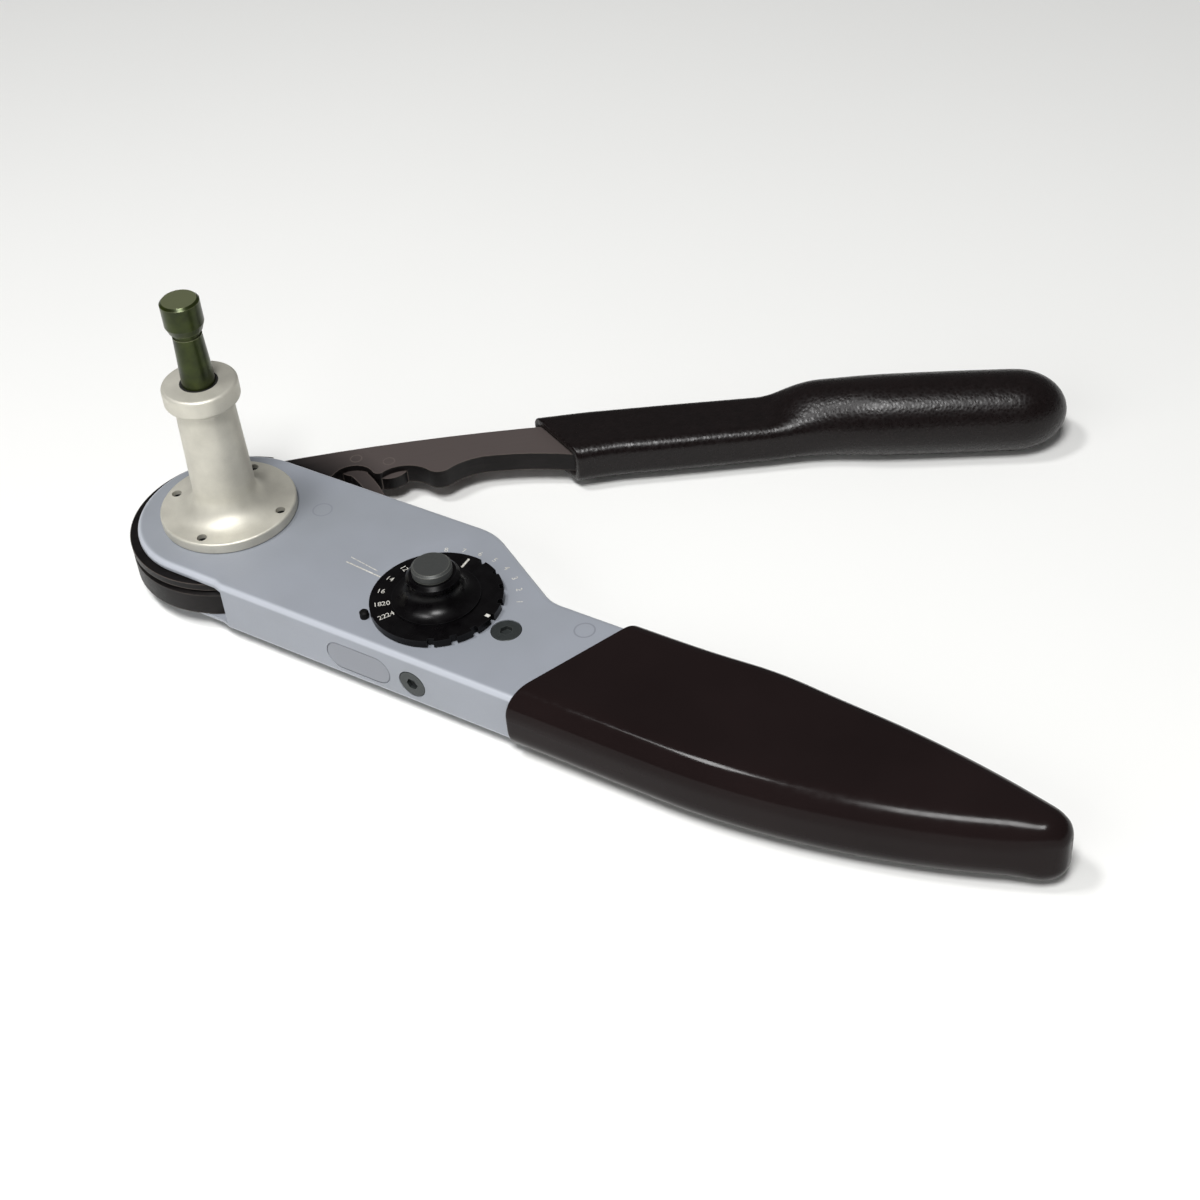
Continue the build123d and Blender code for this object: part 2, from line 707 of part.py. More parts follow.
with BuildPart() as stem_seal:
    with BuildSketch(level(tower_top - seal_t)):
        Circle(seal_r)
        Circle(tower_bore_r, mode=Mode.SUBTRACT)
    extrude(amount=seal_t)
keep(stem_seal, "stem_seal")

# Adjusting screw and the rod that it pushes down the tower
stem_r = tower_bore_r - stem_fit
with BuildPart() as adjusting_screw:
    with BuildSketch(Plane.XZ):
        with BuildLine():
            Polyline(
                (0, top_z + stem_low_z),
                (stem_r, top_z + stem_low_z),
                (stem_r, top_z + stem_thread_z),
                (stem_top_r, top_z + stem_neck_z),
                (stem_top_r - stem_groove, top_z + stem_neck_z),
                (stem_top_r - stem_groove, top_z + head_z),
                (screw_top_r - head_cone_in, top_z + head_z),
                (screw_top_r, top_z + head_z + head_cone_h),
                (screw_top_r, top_z + head_top_z - head_chamfer),
                (screw_top_r - head_chamfer, top_z + head_top_z),
                (0, top_z + head_top_z),
                close=True,
            )
        make_face()
    revolve(axis=Axis.Z)
keep(adjusting_screw, "adjusting_screw")

with BuildPart() as locator_rod:
    rod_low = slide_z + slide_w + rod_gap + screw_travel
    with BuildSketch(level(rod_low)):
        Circle(locator_bore_r - rod_fit)
    extrude(amount=top_z + stem_low_z - rod_low)
keep(locator_rod, "locator_rod")

# Selector: dial, knob, cap, shaft, step cam, washer and spring
dial_z = top_z + dial_gap
dial_top = dial_z + dial_t
with BuildPart() as selector_dial:
    with BuildSketch(level(dial_z, 0, selector_x, selector_y)):
        Circle(dial_r)
        Circle(shaft_r, mode=Mode.SUBTRACT)
        with PolarLocations(dial_r, notch_count, notch_from, notch_pitch * (notch_count - 1), endpoint=True):
            Rectangle(2 * notch_depth, notch_w, mode=Mode.SUBTRACT)
    extrude(amount=dial_t)
keep(selector_dial, "selector_dial")

with BuildPart() as selector_knob:
    with BuildSketch(Plane(origin=(selector_x, selector_y, dial_top), x_dir=(1, 0, 0), z_dir=(0, -1, 0))):
        with BuildLine():
            Line((0, 0), (knob_base_r, 0))
            Line((knob_base_r, 0), (knob_base_r, knob_foot_h))
            neck_top = (knob_neck_r, knob_h - knob_rim_h - knob_rim_slope)
            ThreePointArc((knob_base_r, knob_foot_h), (knob_waist_r, knob_waist_h), neck_top)
            Line(neck_top, (knob_r, knob_h - knob_rim_h))
            Line((knob_r, knob_h - knob_rim_h), (knob_r, knob_h - knob_chamfer))
            Line((knob_r, knob_h - knob_chamfer), (knob_r - knob_chamfer, knob_h))
            Line((knob_r - knob_chamfer, knob_h), (0, knob_h))
            Line((0, knob_h), (0, 0))
        make_face()
    revolve(axis=Axis((selector_x, selector_y, 0), (0, 0, 1)))
    with BuildSketch(level(dial_top, 0, selector_x, selector_y)):
        Circle(shaft_r)
    extrude(amount=knob_h, mode=Mode.SUBTRACT)
keep(selector_knob, "selector_knob")

with BuildPart() as selector_shaft:
    with BuildSketch(level(frame_z + shaft_inset, 0, selector_x, selector_y)):
        Circle(shaft_r)
    extrude(amount=dial_top + knob_h - frame_z - shaft_inset)
keep(selector_shaft, "selector_shaft")

with BuildPart() as knob_cap:
    with BuildSketch(level(dial_top + knob_h, 0, selector_x, selector_y)):
        Circle(cap_r)
    extrude(amount=cap_h)
    chamfer(knob_cap.edges().group_by(Axis.Z)[-1], cap_chamfer)
keep(knob_cap, "knob_cap")

with BuildPart() as step_cam:
    with BuildSketch(level(step_cam_z, 0, selector_x, selector_y)):
        Circle(step_cam_r)
        for step in range(1, notch_count):
            step_r = step_cam_r + step * step_cam_rise
            low = notch_from + step * notch_pitch
            high = notch_from + notch_count * notch_pitch
            with BuildLine():
                Line((0, 0), at(step_r, low))
                ThreePointArc(at(step_r, low), at(step_r, (low + high) / 2), at(step_r, high))
                Line(at(step_r, high), (0, 0))
            make_face()
        Circle(shaft_r, mode=Mode.SUBTRACT)
    extrude(amount=step_cam_t)
keep(step_cam, "step_cam")

with BuildPart() as selector_washer:
    with BuildSketch(level(step_cam_z - washer_t, 0, selector_x, selector_y)):
        Circle(washer_r)
        Circle(shaft_r + shaft_fit, mode=Mode.SUBTRACT)
    extrude(amount=washer_t)
keep(selector_washer, "selector_washer")

with BuildPart() as selector_spring:
    spring_z = step_cam_z + step_cam_t
    spring_h = pocket_top_z - spring_z
    coil_step = (spring_h - 2 * spring_wire_r) / spring_turns
    for coil in range(spring_turns + 1):
        with BuildSketch(Plane(origin=(selector_x, selector_y, spring_z + spring_wire_r + coil * coil_step),
                               x_dir=(1, 0, 0), z_dir=(0, -1, 0))):
            with Locations((spring_coil_r, 0)):
                RegularPolygon(spring_wire_r, 6)
        revolve(axis=Axis((selector_x, selector_y, 0), (0, 0, 1)))
keep(selector_spring, "selector_spring")

with BuildPart() as index_pin:
    with BuildSketch(level(pocket_top_z)):
        with Locations((selector_x + index_place[0], selector_y + index_place[1])):
            Circle(index_r)
    extrude(amount=plate_t + index_h)
    chamfer(index_pin.edges().group_by(Axis.Z)[-1], index_chamfer)
keep(index_pin, "index_pin")

# Plug of the window in the front wall, and the two flush screws
with BuildPart() as window_plug:
    with BuildSketch(wall_face):
        with Locations((window_x, window_z)):
            SlotOverall(window_l - 2 * window_fit, window_h - 2 * window_fit)
    extrude(amount=-window_t)
    chamfer(window_plug.faces().sort_by(Axis.Y)[0].edges(), window_chamfer)
keep(window_plug, "window_plug")


def flush_screw(face_plane, length, label):
    """Flat socket screw let into a face, with its hexagon socket outward."""
    with BuildPart() as screw:
        with BuildSketch(face_plane):
            Circle(flush_screw_r)
        extrude(amount=-flush_head_t)
        rims = screw.edges().filter_by(GeomType.CIRCLE)
        chamfer(rims.sort_by_distance(face_plane.origin)[0], flush_chamfer)
        with BuildSketch(face_plane):
            Circle(flush_shank_r)
        extrude(amount=-length)
        with BuildSketch(face_plane):
            RegularPolygon(flush_socket_w, 6)
        extrude(amount=-flush_socket_depth, mode=Mode.SUBTRACT)
    keep(screw, label)


side_plane = Plane(origin=(side_screw_x, wall_y, side_screw_z), x_dir=(1, 0, 0), z_dir=(0, -1, 0))
flush_screw(side_plane, wall_t, "side_screw")
flush_screw(level(top_z, 0, top_screw_x, top_screw_y), top_screw_l, "top_screw")
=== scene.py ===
import bpy
import bmesh
import math
from mathutils import Matrix, Vector, noise


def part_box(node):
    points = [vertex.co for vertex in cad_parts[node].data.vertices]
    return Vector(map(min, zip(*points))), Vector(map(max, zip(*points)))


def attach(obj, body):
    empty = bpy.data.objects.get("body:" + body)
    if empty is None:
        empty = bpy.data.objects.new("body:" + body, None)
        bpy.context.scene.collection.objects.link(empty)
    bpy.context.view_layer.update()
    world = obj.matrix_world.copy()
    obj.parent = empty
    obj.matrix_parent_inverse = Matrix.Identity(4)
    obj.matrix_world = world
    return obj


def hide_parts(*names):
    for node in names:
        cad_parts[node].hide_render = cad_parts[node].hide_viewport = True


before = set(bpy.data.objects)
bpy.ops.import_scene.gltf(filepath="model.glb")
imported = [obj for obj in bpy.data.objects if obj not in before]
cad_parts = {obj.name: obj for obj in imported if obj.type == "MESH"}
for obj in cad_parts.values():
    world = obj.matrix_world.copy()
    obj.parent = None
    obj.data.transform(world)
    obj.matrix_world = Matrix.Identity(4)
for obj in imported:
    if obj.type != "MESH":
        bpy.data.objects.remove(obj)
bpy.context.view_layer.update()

# Frame: steel plates and wall welded into one body, sprayed with blue-grey epoxy enamel.
# The enamel is satin with a faint orange peel, and every rolled edge is painted paler as a highlight.
# The ends of two pins are ground flush and painted over, so only a faint ring tells them.
MM = 0.001


def linear(code):
    """Linear colour of an sRGB hex value."""
    shares = [int(code[i:i + 2], 16) / 255 for i in (1, 3, 5)]
    return (*[s / 12.92 if s <= 0.04045 else ((s + 0.055) / 1.055) ** 2.4 for s in shares], 1.0)


def new_material(name):
    """A material with its tree, its shader and its object coordinates in metres."""
    material = bpy.data.materials.new(name)
    material.use_nodes = True
    tree = material.node_tree
    place = tree.nodes.new("ShaderNodeTexCoord").outputs["Object"]
    return material, tree, tree.nodes["Principled BSDF"], place


def set_sockets(tree, node, sockets):
    """Sets or links a node's sockets, by their names or numbers."""
    for name, value in sockets.items():
        if isinstance(value, bpy.types.NodeSocket):
            tree.links.new(value, node.inputs[name])
        else:
            node.inputs[name].default_value = value


def add_node(tree, kind, sockets, **settings):
    """Adds a node with its settings, and sets or links its sockets."""
    node = tree.nodes.new("ShaderNode" + kind)
    for name, value in settings.items():
        setattr(node, name, value)
    set_sockets(tree, node, sockets)
    return node


edge_begins = 0.995             # cosine between a rounded and a flat normal where an edge begins
edge_full = 0.80                # and where it is at its full


def edge_mask(tree, width):
    """0 on flat faces and up to 1 along sharp edges, from the turn of a rounded normal."""
    rounded = add_node(tree, "Bevel", {"Radius": width}, samples=6).outputs[0]
    flat = tree.nodes.new("ShaderNodeNewGeometry").outputs["Normal"]
    along = add_node(tree, "VectorMath", {0: rounded, 1: flat}, operation="DOT_PRODUCT").outputs["Value"]
    return add_node(tree, "MapRange", {0: along, 1: edge_begins, 2: edge_full, 3: 0.0, 4: 1.0}).outputs[0]


def paint(objects, material):
    """Gives whole objects one material."""
    for piece in objects:
        piece.data.materials.clear()
        piece.data.materials.append(material)


noise_low, noise_high = 0.3, 0.7        # nearly all of a noise lies between these
enamel_mid = linear("#868a90")
enamel_cool = linear("#8e929a")
# Paler shade painted along the rolled edges as a highlight.
enamel_edge_highlight = linear("#b6bac2")
enamel_ring = linear("#7d8088")
peel_size = 0.9 * MM            # one dimple of the orange peel, drawn twice its real size to show
drift_size = 34 * MM            # slow change of shade along the plates
peel_height = 0.05 * MM
peel_rough = (0.38, 0.46)       # roughness in the pits and on the crests of the peel
edge_highlight_share = 0.7              # how far the rolled edges go over to their paler shade
pin_ring_r = 2.4 * MM
pin_ring_w = 0.2 * MM
pin_places = ((20.9, 10.9), (103.7, 2.7))       # the pawl's pin and the dowel, in mm

# Epoxy enamel: a satin skin whose dimples break up the soft boxes into a quiet sheen.
enamel, tree, shader, place = new_material("blue_grey_epoxy_enamel")
drift = add_node(tree, "TexNoise", {"Vector": place, "Scale": 1 / drift_size, "Detail": 3.0}).outputs[0]
peel = add_node(tree, "TexNoise", {"Vector": place, "Scale": 1 / peel_size, "Detail": 1.5}).outputs[0]
drift_share = add_node(tree, "MapRange", {0: drift, 1: 0.35, 2: 0.65}).outputs[0]
shade = add_node(tree, "Mix", {0: drift_share, 6: enamel_mid, 7: enamel_cool}, data_type="RGBA").outputs[2]
for pin_x, pin_y in pin_places:
    centre = add_node(tree, "CombineXYZ", {0: pin_x * MM, 1: pin_y * MM}).outputs[0]
    flat_place = add_node(tree, "VectorMath", {0: place, 1: (1, 1, 0)}, operation="MULTIPLY").outputs[0]
    reach = add_node(tree, "VectorMath", {0: flat_place, 1: centre}, operation="DISTANCE").outputs["Value"]
    off = add_node(tree, "Math", {0: reach, 1: pin_ring_r, 2: pin_ring_w}, operation="COMPARE").outputs[0]
    shade = add_node(tree, "Mix", {0: off, 6: shade, 7: enamel_ring}, data_type="RGBA").outputs[2]
# A rolled edge is where the surface is neither level nor upright; there the enamel is painted paler as a
# highlight.
facing = tree.nodes.new("ShaderNodeNewGeometry").outputs["Normal"]
facing_up = add_node(tree, "SeparateXYZ", {0: facing}).outputs[2]
tilt = add_node(tree, "Math", {0: facing_up}, operation="ABSOLUTE").outputs[0]
level_part = add_node(tree, "MapRange", {0: tilt, 1: 1.0, 2: 0.85}).outputs[0]
upright_part = add_node(tree, "MapRange", {0: tilt, 1: 0.05, 2: 0.35}).outputs[0]
rolled = add_node(tree, "Math", {0: level_part, 1: upright_part}, operation="MULTIPLY").outputs[0]
painted_highlight = add_node(tree, "Math", {0: rolled, 1: edge_highlight_share}, operation="MULTIPLY").outputs[0]
shade = add_node(tree, "Mix", {0: painted_highlight, 6: shade, 7: enamel_edge_highlight}, data_type="RGBA").outputs[2]
gloss = add_node(tree, "MapRange", {0: peel, 1: noise_low, 2: noise_high,
                                    3: peel_rough[0], 4: peel_rough[1]}).outputs[0]
dimples = add_node(tree, "Bump", {"Height": peel, "Strength": 0.10, "Distance": peel_height}).outputs[0]
set_sockets(tree, shader, {"Base Color": shade, "Roughness": gloss, "IOR": 1.5, "Normal": dimples})
paint([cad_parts[name] for name in ("frame", "pawl_pin", "tang_dowel")], enamel)

# Window plug: a steel slug pressed into the obround hole of the front wall and painted with it.
# The paint bridges the joint badly, which leaves a thin dark line round a slightly darker slug.
slug_mid = linear("#80838a")
slug_line = linear("#45464c")
slug_line_w = 0.35 * MM
slug_rough = 0.42

# The same enamel in one even shade, so that only the joint's dark line tells the slug.
slug, tree, shader, place = new_material("blue_grey_enamel_on_plug")
edges = edge_mask(tree, slug_line_w)
peel = add_node(tree, "TexNoise", {"Vector": place, "Scale": 1 / peel_size, "Detail": 1.5}).outputs[0]
shade = add_node(tree, "Mix", {0: edges, 6: slug_mid, 7: slug_line}, data_type="RGBA").outputs[2]
dimples = add_node(tree, "Bump", {"Height": peel, "Strength": 0.10, "Distance": peel_height}).outputs[0]
set_sockets(tree, shader, {"Base Color": shade, "Roughness": slug_rough, "IOR": 1.5, "Normal": dimples})
paint([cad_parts["window_plug"]], slug)

# Ring, ring plate, arm, toothed sector and rivets: steel, machined, then blackened and oiled.
# Black oxide is a thin crystal skin, so the milling still shows through it as faint streaks, and handling
# has rubbed it brown-grey along its edges. The arm's flat faces are painted paler, as the light on them.
oxide_dark = linear("#0a0808")
oxide_light = linear("#191616")
oxide_face_painted_light = linear("#564e4c")
oxide_rubbed = linear("#7a7069")
# Painted light: the arm's flat faces between these two radii are drawn paler, standing for the light on
# them.
face_start = 30 * MM            # the arm's flat faces are rubbed pale from here to the next, outwards
face_end = 44 * MM
mill_step = 0.7 * MM            # width of a milling streak, drawn coarser than real to show
cloud_size = 9 * MM             # patches of heavier and lighter oil
streak_stretch = 0.06           # streaks run this much slower along the arm than across it
streak_height = 0.03 * MM
oxide_rough = (0.38, 0.50)      # roughness on and between the streaks
rub_width = 0.5 * MM
arm_turn = math.radians(39)

# Black oxide: a dark satin skin with thin oil, which shows brown-grey metal where it is rubbed.
oxide, tree, shader, place = new_material("black_oxide_steel")
turned = add_node(tree, "Mapping", {"Vector": place, "Rotation": (0, 0, -arm_turn)}).outputs[0]
stretched = add_node(tree, "VectorMath",
                     {0: turned, 1: (streak_stretch, 1, 1)}, operation="MULTIPLY").outputs[0]
streaks = add_node(tree, "TexNoise", {"Vector": stretched, "Scale": 1 / mill_step, "Detail": 2.0}).outputs[0]
clouds = add_node(tree, "TexNoise", {"Vector": place, "Scale": 1 / cloud_size, "Detail": 4.0}).outputs[0]
mottle = add_node(tree, "Math", {0: streaks, 1: clouds}, operation="MULTIPLY").outputs[0]
share = add_node(tree, "MapRange", {0: mottle, 1: 0.12, 2: 0.40}).outputs[0]
shade = add_node(tree, "Mix", {0: share, 6: oxide_dark, 7: oxide_light}, data_type="RGBA").outputs[2]
facing = tree.nodes.new("ShaderNodeNewGeometry").outputs["Normal"]
facing_up = add_node(tree, "SeparateXYZ", {0: facing}).outputs[2]
tilt = add_node(tree, "Math", {0: facing_up}, operation="ABSOLUTE").outputs[0]
# Painted light: flat faces on the arm go over to the paler shade.
flat_face = add_node(tree, "MapRange", {0: tilt, 1: 0.85, 2: 0.98}).outputs[0]
outward = add_node(tree, "VectorMath", {0: place}, operation="LENGTH").outputs["Value"]
on_arm = add_node(tree, "MapRange", {0: outward, 1: face_start, 2: face_end}).outputs[0]
painted_light_face = add_node(tree, "Math", {0: flat_face, 1: on_arm}, operation="MULTIPLY").outputs[0]
shade = add_node(tree, "Mix", {0: painted_light_face, 6: shade, 7: oxide_face_painted_light}, data_type="RGBA").outputs[2]
edges = edge_mask(tree, rub_width)
worn = add_node(tree, "Math", {0: edges, 1: clouds}, operation="MULTIPLY").outputs[0]
shade = add_node(tree, "Mix", {0: worn, 6: shade, 7: oxide_rubbed}, data_type="RGBA").outputs[2]
gloss = add_node(tree, "MapRange", {0: streaks, 1: noise_low, 2: noise_high,
                                    3: oxide_rough[0], 4: oxide_rough[1]}).outputs[0]
grooves = add_node(tree, "Bump", {"Height": streaks, "Strength": 0.10, "Distance": streak_height}).outputs[0]
set_sockets(tree, shader, {"Base Color": shade, "Metallic": 0.25, "Roughness": gloss,
                           "Specular IOR Level": 0.25, "Normal": grooves})
blackened = ("handle_arm", "ring_plate", "ring_rivets", "ratchet_sector", "sector_rivets")
paint([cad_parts[name] for name in blackened], oxide)

# Working steel: indenters, guide, pawl, shaft, step cam, rod, washer and spring.
# Hardened tool steel, ground bright, with fine grinding lines and a film of oil.
steel_mid = linear("#7b7a78")
steel_dark = linear("#5d5c5b")
grind_step = 0.25 * MM          # width of a grinding line, drawn coarser than real to show
grind_stretch = 0.05            # lines run this much slower along than across
grind_height = 0.02 * MM
grind_rough = (0.24, 0.40)      # roughness on and between the lines
film_size = 5 * MM              # patches of the oil film

# Ground steel: bright metal whose fine lines draw the light out across the grinding.
tool_steel, tree, shader, place = new_material("ground_tool_steel")
stretched = add_node(tree, "VectorMath",
                     {0: place, 1: (grind_stretch, 1, 1)}, operation="MULTIPLY").outputs[0]
lines = add_node(tree, "TexNoise", {"Vector": stretched, "Scale": 1 / grind_step, "Detail": 2.0}).outputs[0]
film = add_node(tree, "TexNoise", {"Vector": place, "Scale": 1 / film_size, "Detail": 3.0}).outputs[0]
shade = add_node(tree, "Mix", {0: film, 6: steel_dark, 7: steel_mid}, data_type="RGBA").outputs[2]
gloss = add_node(tree, "MapRange", {0: lines, 1: noise_low, 2: noise_high,
                                    3: grind_rough[0], 4: grind_rough[1]}).outputs[0]
grooves = add_node(tree, "Bump", {"Height": lines, "Strength": 0.15, "Distance": grind_height}).outputs[0]
set_sockets(tree, shader, {"Base Color": shade, "Metallic": 1.0, "Roughness": gloss, "Normal": grooves})
bright = ("indenter_1", "indenter_2", "indenter_3", "indenter_4", "indenter_guide", "ratchet_pawl",
          "selector_shaft", "step_cam", "locator_rod", "selector_washer", "selector_spring")
paint([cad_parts[name] for name in bright], tool_steel)

# Cover, its screws and the two flush screws: small steel parts, blackened. The flush screws are
# let into the painted faces, dark grey with a black socket, and their tops carry a fine grain.
screw_mid = linear("#2c3030")
screw_light = linear("#444848")
screw_worn = linear("#676b69")
turn_step = 0.35 * MM           # grain of turning and blackening, drawn coarser than real to show
turn_height = 0.03 * MM
screw_rough = 0.42
screw_wear = 0.45               # how far the edges are worn to the lighter shade

# Blackened screw steel: half metal, half skin, with a dull shine and a thin light edge.
screw_steel, tree, shader, place = new_material("blackened_screw_steel")
grain = add_node(tree, "TexNoise", {"Vector": place, "Scale": 1 / turn_step, "Detail": 2.0}).outputs[0]
shade = add_node(tree, "Mix", {0: grain, 6: screw_mid, 7: screw_light}, data_type="RGBA").outputs[2]
edges = edge_mask(tree, turn_step)
worn = add_node(tree, "Math", {0: edges, 1: screw_wear}, operation="MULTIPLY").outputs[0]
shade = add_node(tree, "Mix", {0: worn, 6: shade, 7: screw_worn}, data_type="RGBA").outputs[2]
dents = add_node(tree, "Bump", {"Height": grain, "Strength": 0.2, "Distance": turn_height}).outputs[0]
set_sockets(tree, shader, {"Base Color": shade, "Metallic": 0.5, "Roughness": screw_rough, "Normal": dents})
small_steel = ("indenter_cover", "cover_screws", "side_screw", "top_screw")
paint([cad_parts[name] for name in small_steel], screw_steel)

# Index pin and tower screws: turned steel, blackened and left wet with oil. The screws are sunk in the
# tower's flange, and their black also stands for the painted shade in their holes, so only a dark spot tells
# each of them.
oiled_dark_and_recess_shade = linear("#050505")
oiled_light_and_recess_shade = linear("#0c0b0b")
oiled_rough = 0.6

# Oiled black steel: nearly black and dull, and on the sunk screws its black is painted shade.
oiled_and_recess_shade, tree, shader, place = new_material("oiled_black_steel_and_recess_shade")
grain = add_node(tree, "TexNoise", {"Vector": place, "Scale": 1 / turn_step, "Detail": 2.0}).outputs[0]
shade = add_node(tree, "Mix", {0: grain, 6: oiled_dark_and_recess_shade, 7: oiled_light_and_recess_shade}, data_type="RGBA").outputs[2]
dents = add_node(tree, "Bump", {"Height": grain, "Strength": 0.15, "Distance": turn_height}).outputs[0]
set_sockets(tree, shader, {"Base Color": shade, "Metallic": 0.2, "Roughness": oiled_rough,
                           "Specular IOR Level": 0.2, "Normal": dents})
# Painted shade: the sunk tower screws take this near-black.
paint([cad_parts[name] for name in ("index_pin", "tower_screws")], oiled_and_recess_shade)

# Fixed grip: vinyl plastisol that the tang is dipped in, about 2 mm thick, black with a brown
# cast. It cures glossy, runs back from every edge so that they come out round, and keeps faint
# ripples and pips from the dip. Its mouth is trimmed along a slant, and hands have dulled its end.
vinyl_deep = linear("#150f0f")
vinyl_brown = linear("#1f1717")
ripple_size = 24 * MM           # from one faint ripple to the next
pip_size = 1.6 * MM             # from one pip to the next
pip_height = 0.05 * MM
pip_rough = 0.06                # a pip adds this much roughness
dull_start = 150 * MM           # along the tool, from here to the next the gloss falls
dull_end = 185 * MM
vinyl_rough = (0.08, 0.17)      # roughness before and after that

# From here on the lengths are in millimetres.
tang_back = ((150.0, 8.2), (190.0, 5.6), (222.0, -0.8))       # bend, middle and end of each edge
tang_front = ((143.0, -24.2), (184.0, -18.6), (222.0, -5.4))  # under the vinyl, x and y
mouth_back_x = 114.0            # the trimmed mouth slants from here
mouth_front_x = 100.1           # to here
mouth_depth = 0.035             # share of the length that the mouth is seen into
dip_t = 2.0                     # thickness of the vinyl
back_round = 4.5                # radius of the dipped edges along the thin side
front_round = 6.8               # and along the belly
tip_round = 4.2                 # of the end, seen from above
tip_round_up = 5.7              # and seen from the side
drip_t = 0.6                    # the last drop gathers on the end as the tool hangs to set
tip_thin = 0.25                 # the grip gets thinner by this much, above and below
tip_thin_start = 190.0          # from here to its end
lip_round = 0.7                 # of the trimmed mouth
sink = 0.05                     # the vinyl's inner face lies this far inside the steel
swell_depth = 0.08              # height of the ripples
bend_swell = 1.0                # the vinyl gathers at the tang's bend, over this length
bend_spread = 12.0
least_round = 0.2               # edges of the inner face
lip_angles = (0, 20, 45, 70, 90)        # degrees round a trimmed mouth, one section at each
section_points = 120            # points round one section
corner_steps = 12               # steps round one of its edges
ring_margin = 1.6               # from the first and last whole section to the rounded ends
body_steps = 40
tip_end_x = tang_back[2][0] + dip_t + drip_t
grip_low, grip_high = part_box("fixed_grip")
grip_half_h = (grip_high.z - grip_low.z) / MM / 2
grip_mid_z = (grip_high.z + grip_low.z) / MM / 2


def circle_y(points, x):
    """Height at x of the circle through three points, on the side where the points lie."""
    (ax, ay), (bx, by), (cx, cy) = points
    d = 2 * (ax * (by - cy) + bx * (cy - ay) + cx * (ay - by))
    a, b, c = ax**2 + ay**2, bx**2 + by**2, cx**2 + cy**2
    ux = (a * (by - cy) + b * (cy - ay) + c * (ay - by)) / d
    uy = (a * (cx - bx) + b * (ax - cx) + c * (bx - ax)) / d
    r = math.dist((ux, uy), points[0])
    return uy + math.copysign(math.sqrt(r**2 - (x - ux) ** 2), by - uy)


def tang_edge(points, x):
    """Height of an edge of the tang: straight up to its bend, then along an arc to its end."""
    if x < points[0][0]:
        return points[0][1]
    return circle_y(points, min(x, points[2][0]))


def ease(x):
    """Smooth step from 0 to 1."""
    x = min(max(x, 0.0), 1.0)
    return x * x * (3 - 2 * x)


def even_section(half_w, half_h, r_back, r_front):
    """Evenly spaced points round a flat bar with round edges, from the middle of its back."""
    path = [(half_w, 0.0)]
    corners = ((1, 1, r_back), (-1, 1, r_front), (-1, -1, r_front), (1, -1, r_back))
    for corner, (side, up, r) in enumerate(corners):
        r = min(r, half_w, half_h)
        for step in range(corner_steps + 1):
            a = math.radians(90 * corner + 90 / corner_steps * step)
            path.append((side * (half_w - r) + r * math.cos(a), up * (half_h - r) + r * math.sin(a)))
    path.append(path[0])
    runs = [math.dist(a, b) for a, b in zip(path, path[1:])]
    spacing = sum(runs) / section_points
    points = []
    done, i = 0.0, 0
    for number in range(section_points):
        while done + runs[i] < number * spacing:
            done += runs[i]
            i += 1
        t = (number * spacing - done) / max(runs[i], 1e-9)
        points.append(tuple(a + (b - a) * t for a, b in zip(path[i], path[i + 1])))
    return points


def loft(name, rings):
    """A closed mesh object through rings of equally many points, smoothed once."""
    mesh = bpy.data.meshes.new(name)
    work = bmesh.new()
    rows = [[work.verts.new(p) for p in ring] for ring in rings]
    for low, high in zip(rows, rows[1:]):
        for i in range(len(low)):
            j = (i + 1) % len(low)
            work.faces.new((low[i], low[j], high[j], high[i]))
    work.faces.new(rows[-1])
    bmesh.ops.recalc_face_normals(work, faces=work.faces)
    for face in work.faces:
        face.smooth = True
    work.to_mesh(mesh)
    work.free()
    made = bpy.data.objects.new(name, mesh)
    bpy.context.scene.collection.objects.link(made)
    smooth = made.modifiers.new("smooth", "SUBSURF")
    smooth.levels = 1
    smooth.render_levels = 1
    return made


def round_over(left, r):
    """How far a rounded end has drawn in where this length is left before the end."""
    return r - math.sqrt(r**2 - (r - min(left, r)) ** 2)


def grip_ring(share, inset, inset_up):
    """One section of the dipped grip at a share of its length, drawn in across and up."""
    front_x = mouth_front_x + share * (tip_end_x - mouth_front_x)
    back_x = mouth_back_x + share * (tip_end_x - mouth_back_x)
    front = tang_edge(tang_front, front_x) - dip_t
    back = tang_edge(tang_back, back_x) + dip_t
    back += bend_swell * math.exp(-((back_x - tang_back[0][0]) / bend_spread) ** 2)
    half_w = (back - front) / 2
    thinned = tip_thin * ease((back_x - tip_thin_start) / (tip_end_x - tip_thin_start))
    half_h = grip_half_h - inset_up - thinned
    rounds = [max(r - inset, least_round) for r in (back_round, front_round)]
    ring = []
    for across, up in even_section(half_w - inset, half_h, *rounds):
        along = front_x + (back_x - front_x) * (across / half_w + 1) / 2
        spot = Vector((along, (back + front) / 2 + across, grip_mid_z + up)) * MM
        lift = swell_depth * noise.noise(spot / ripple_size)
        ring.append(spot + Vector((0, across / half_w * lift, up / grip_half_h * lift)) * MM)
    return ring


grip_length = tip_end_x - mouth_front_x
mouth_lefts = [lip_round * (1 - math.cos(math.radians(a))) for a in lip_angles]
body_length = grip_length - tip_round_up - 2 * ring_margin
body_lefts = [ring_margin + body_length * step / body_steps for step in range(body_steps + 1)]
tip_lefts = [grip_length - tip_round_up * (1 - math.sin(math.radians(a))) for a in range(0, 90, 9)]
inner = dip_t + sink
grip_rings = [grip_ring(mouth_depth, inner, inner), grip_ring(0.0, inner, inner)]
for along in mouth_lefts + body_lefts + tip_lefts:
    lip = round_over(along, lip_round)
    across, up = (max(lip, round_over(grip_length - along, r)) for r in (tip_round, tip_round_up))
    grip_rings.append(grip_ring(along / grip_length, across, up))
dipped_grip = loft("dipped_grip", grip_rings)

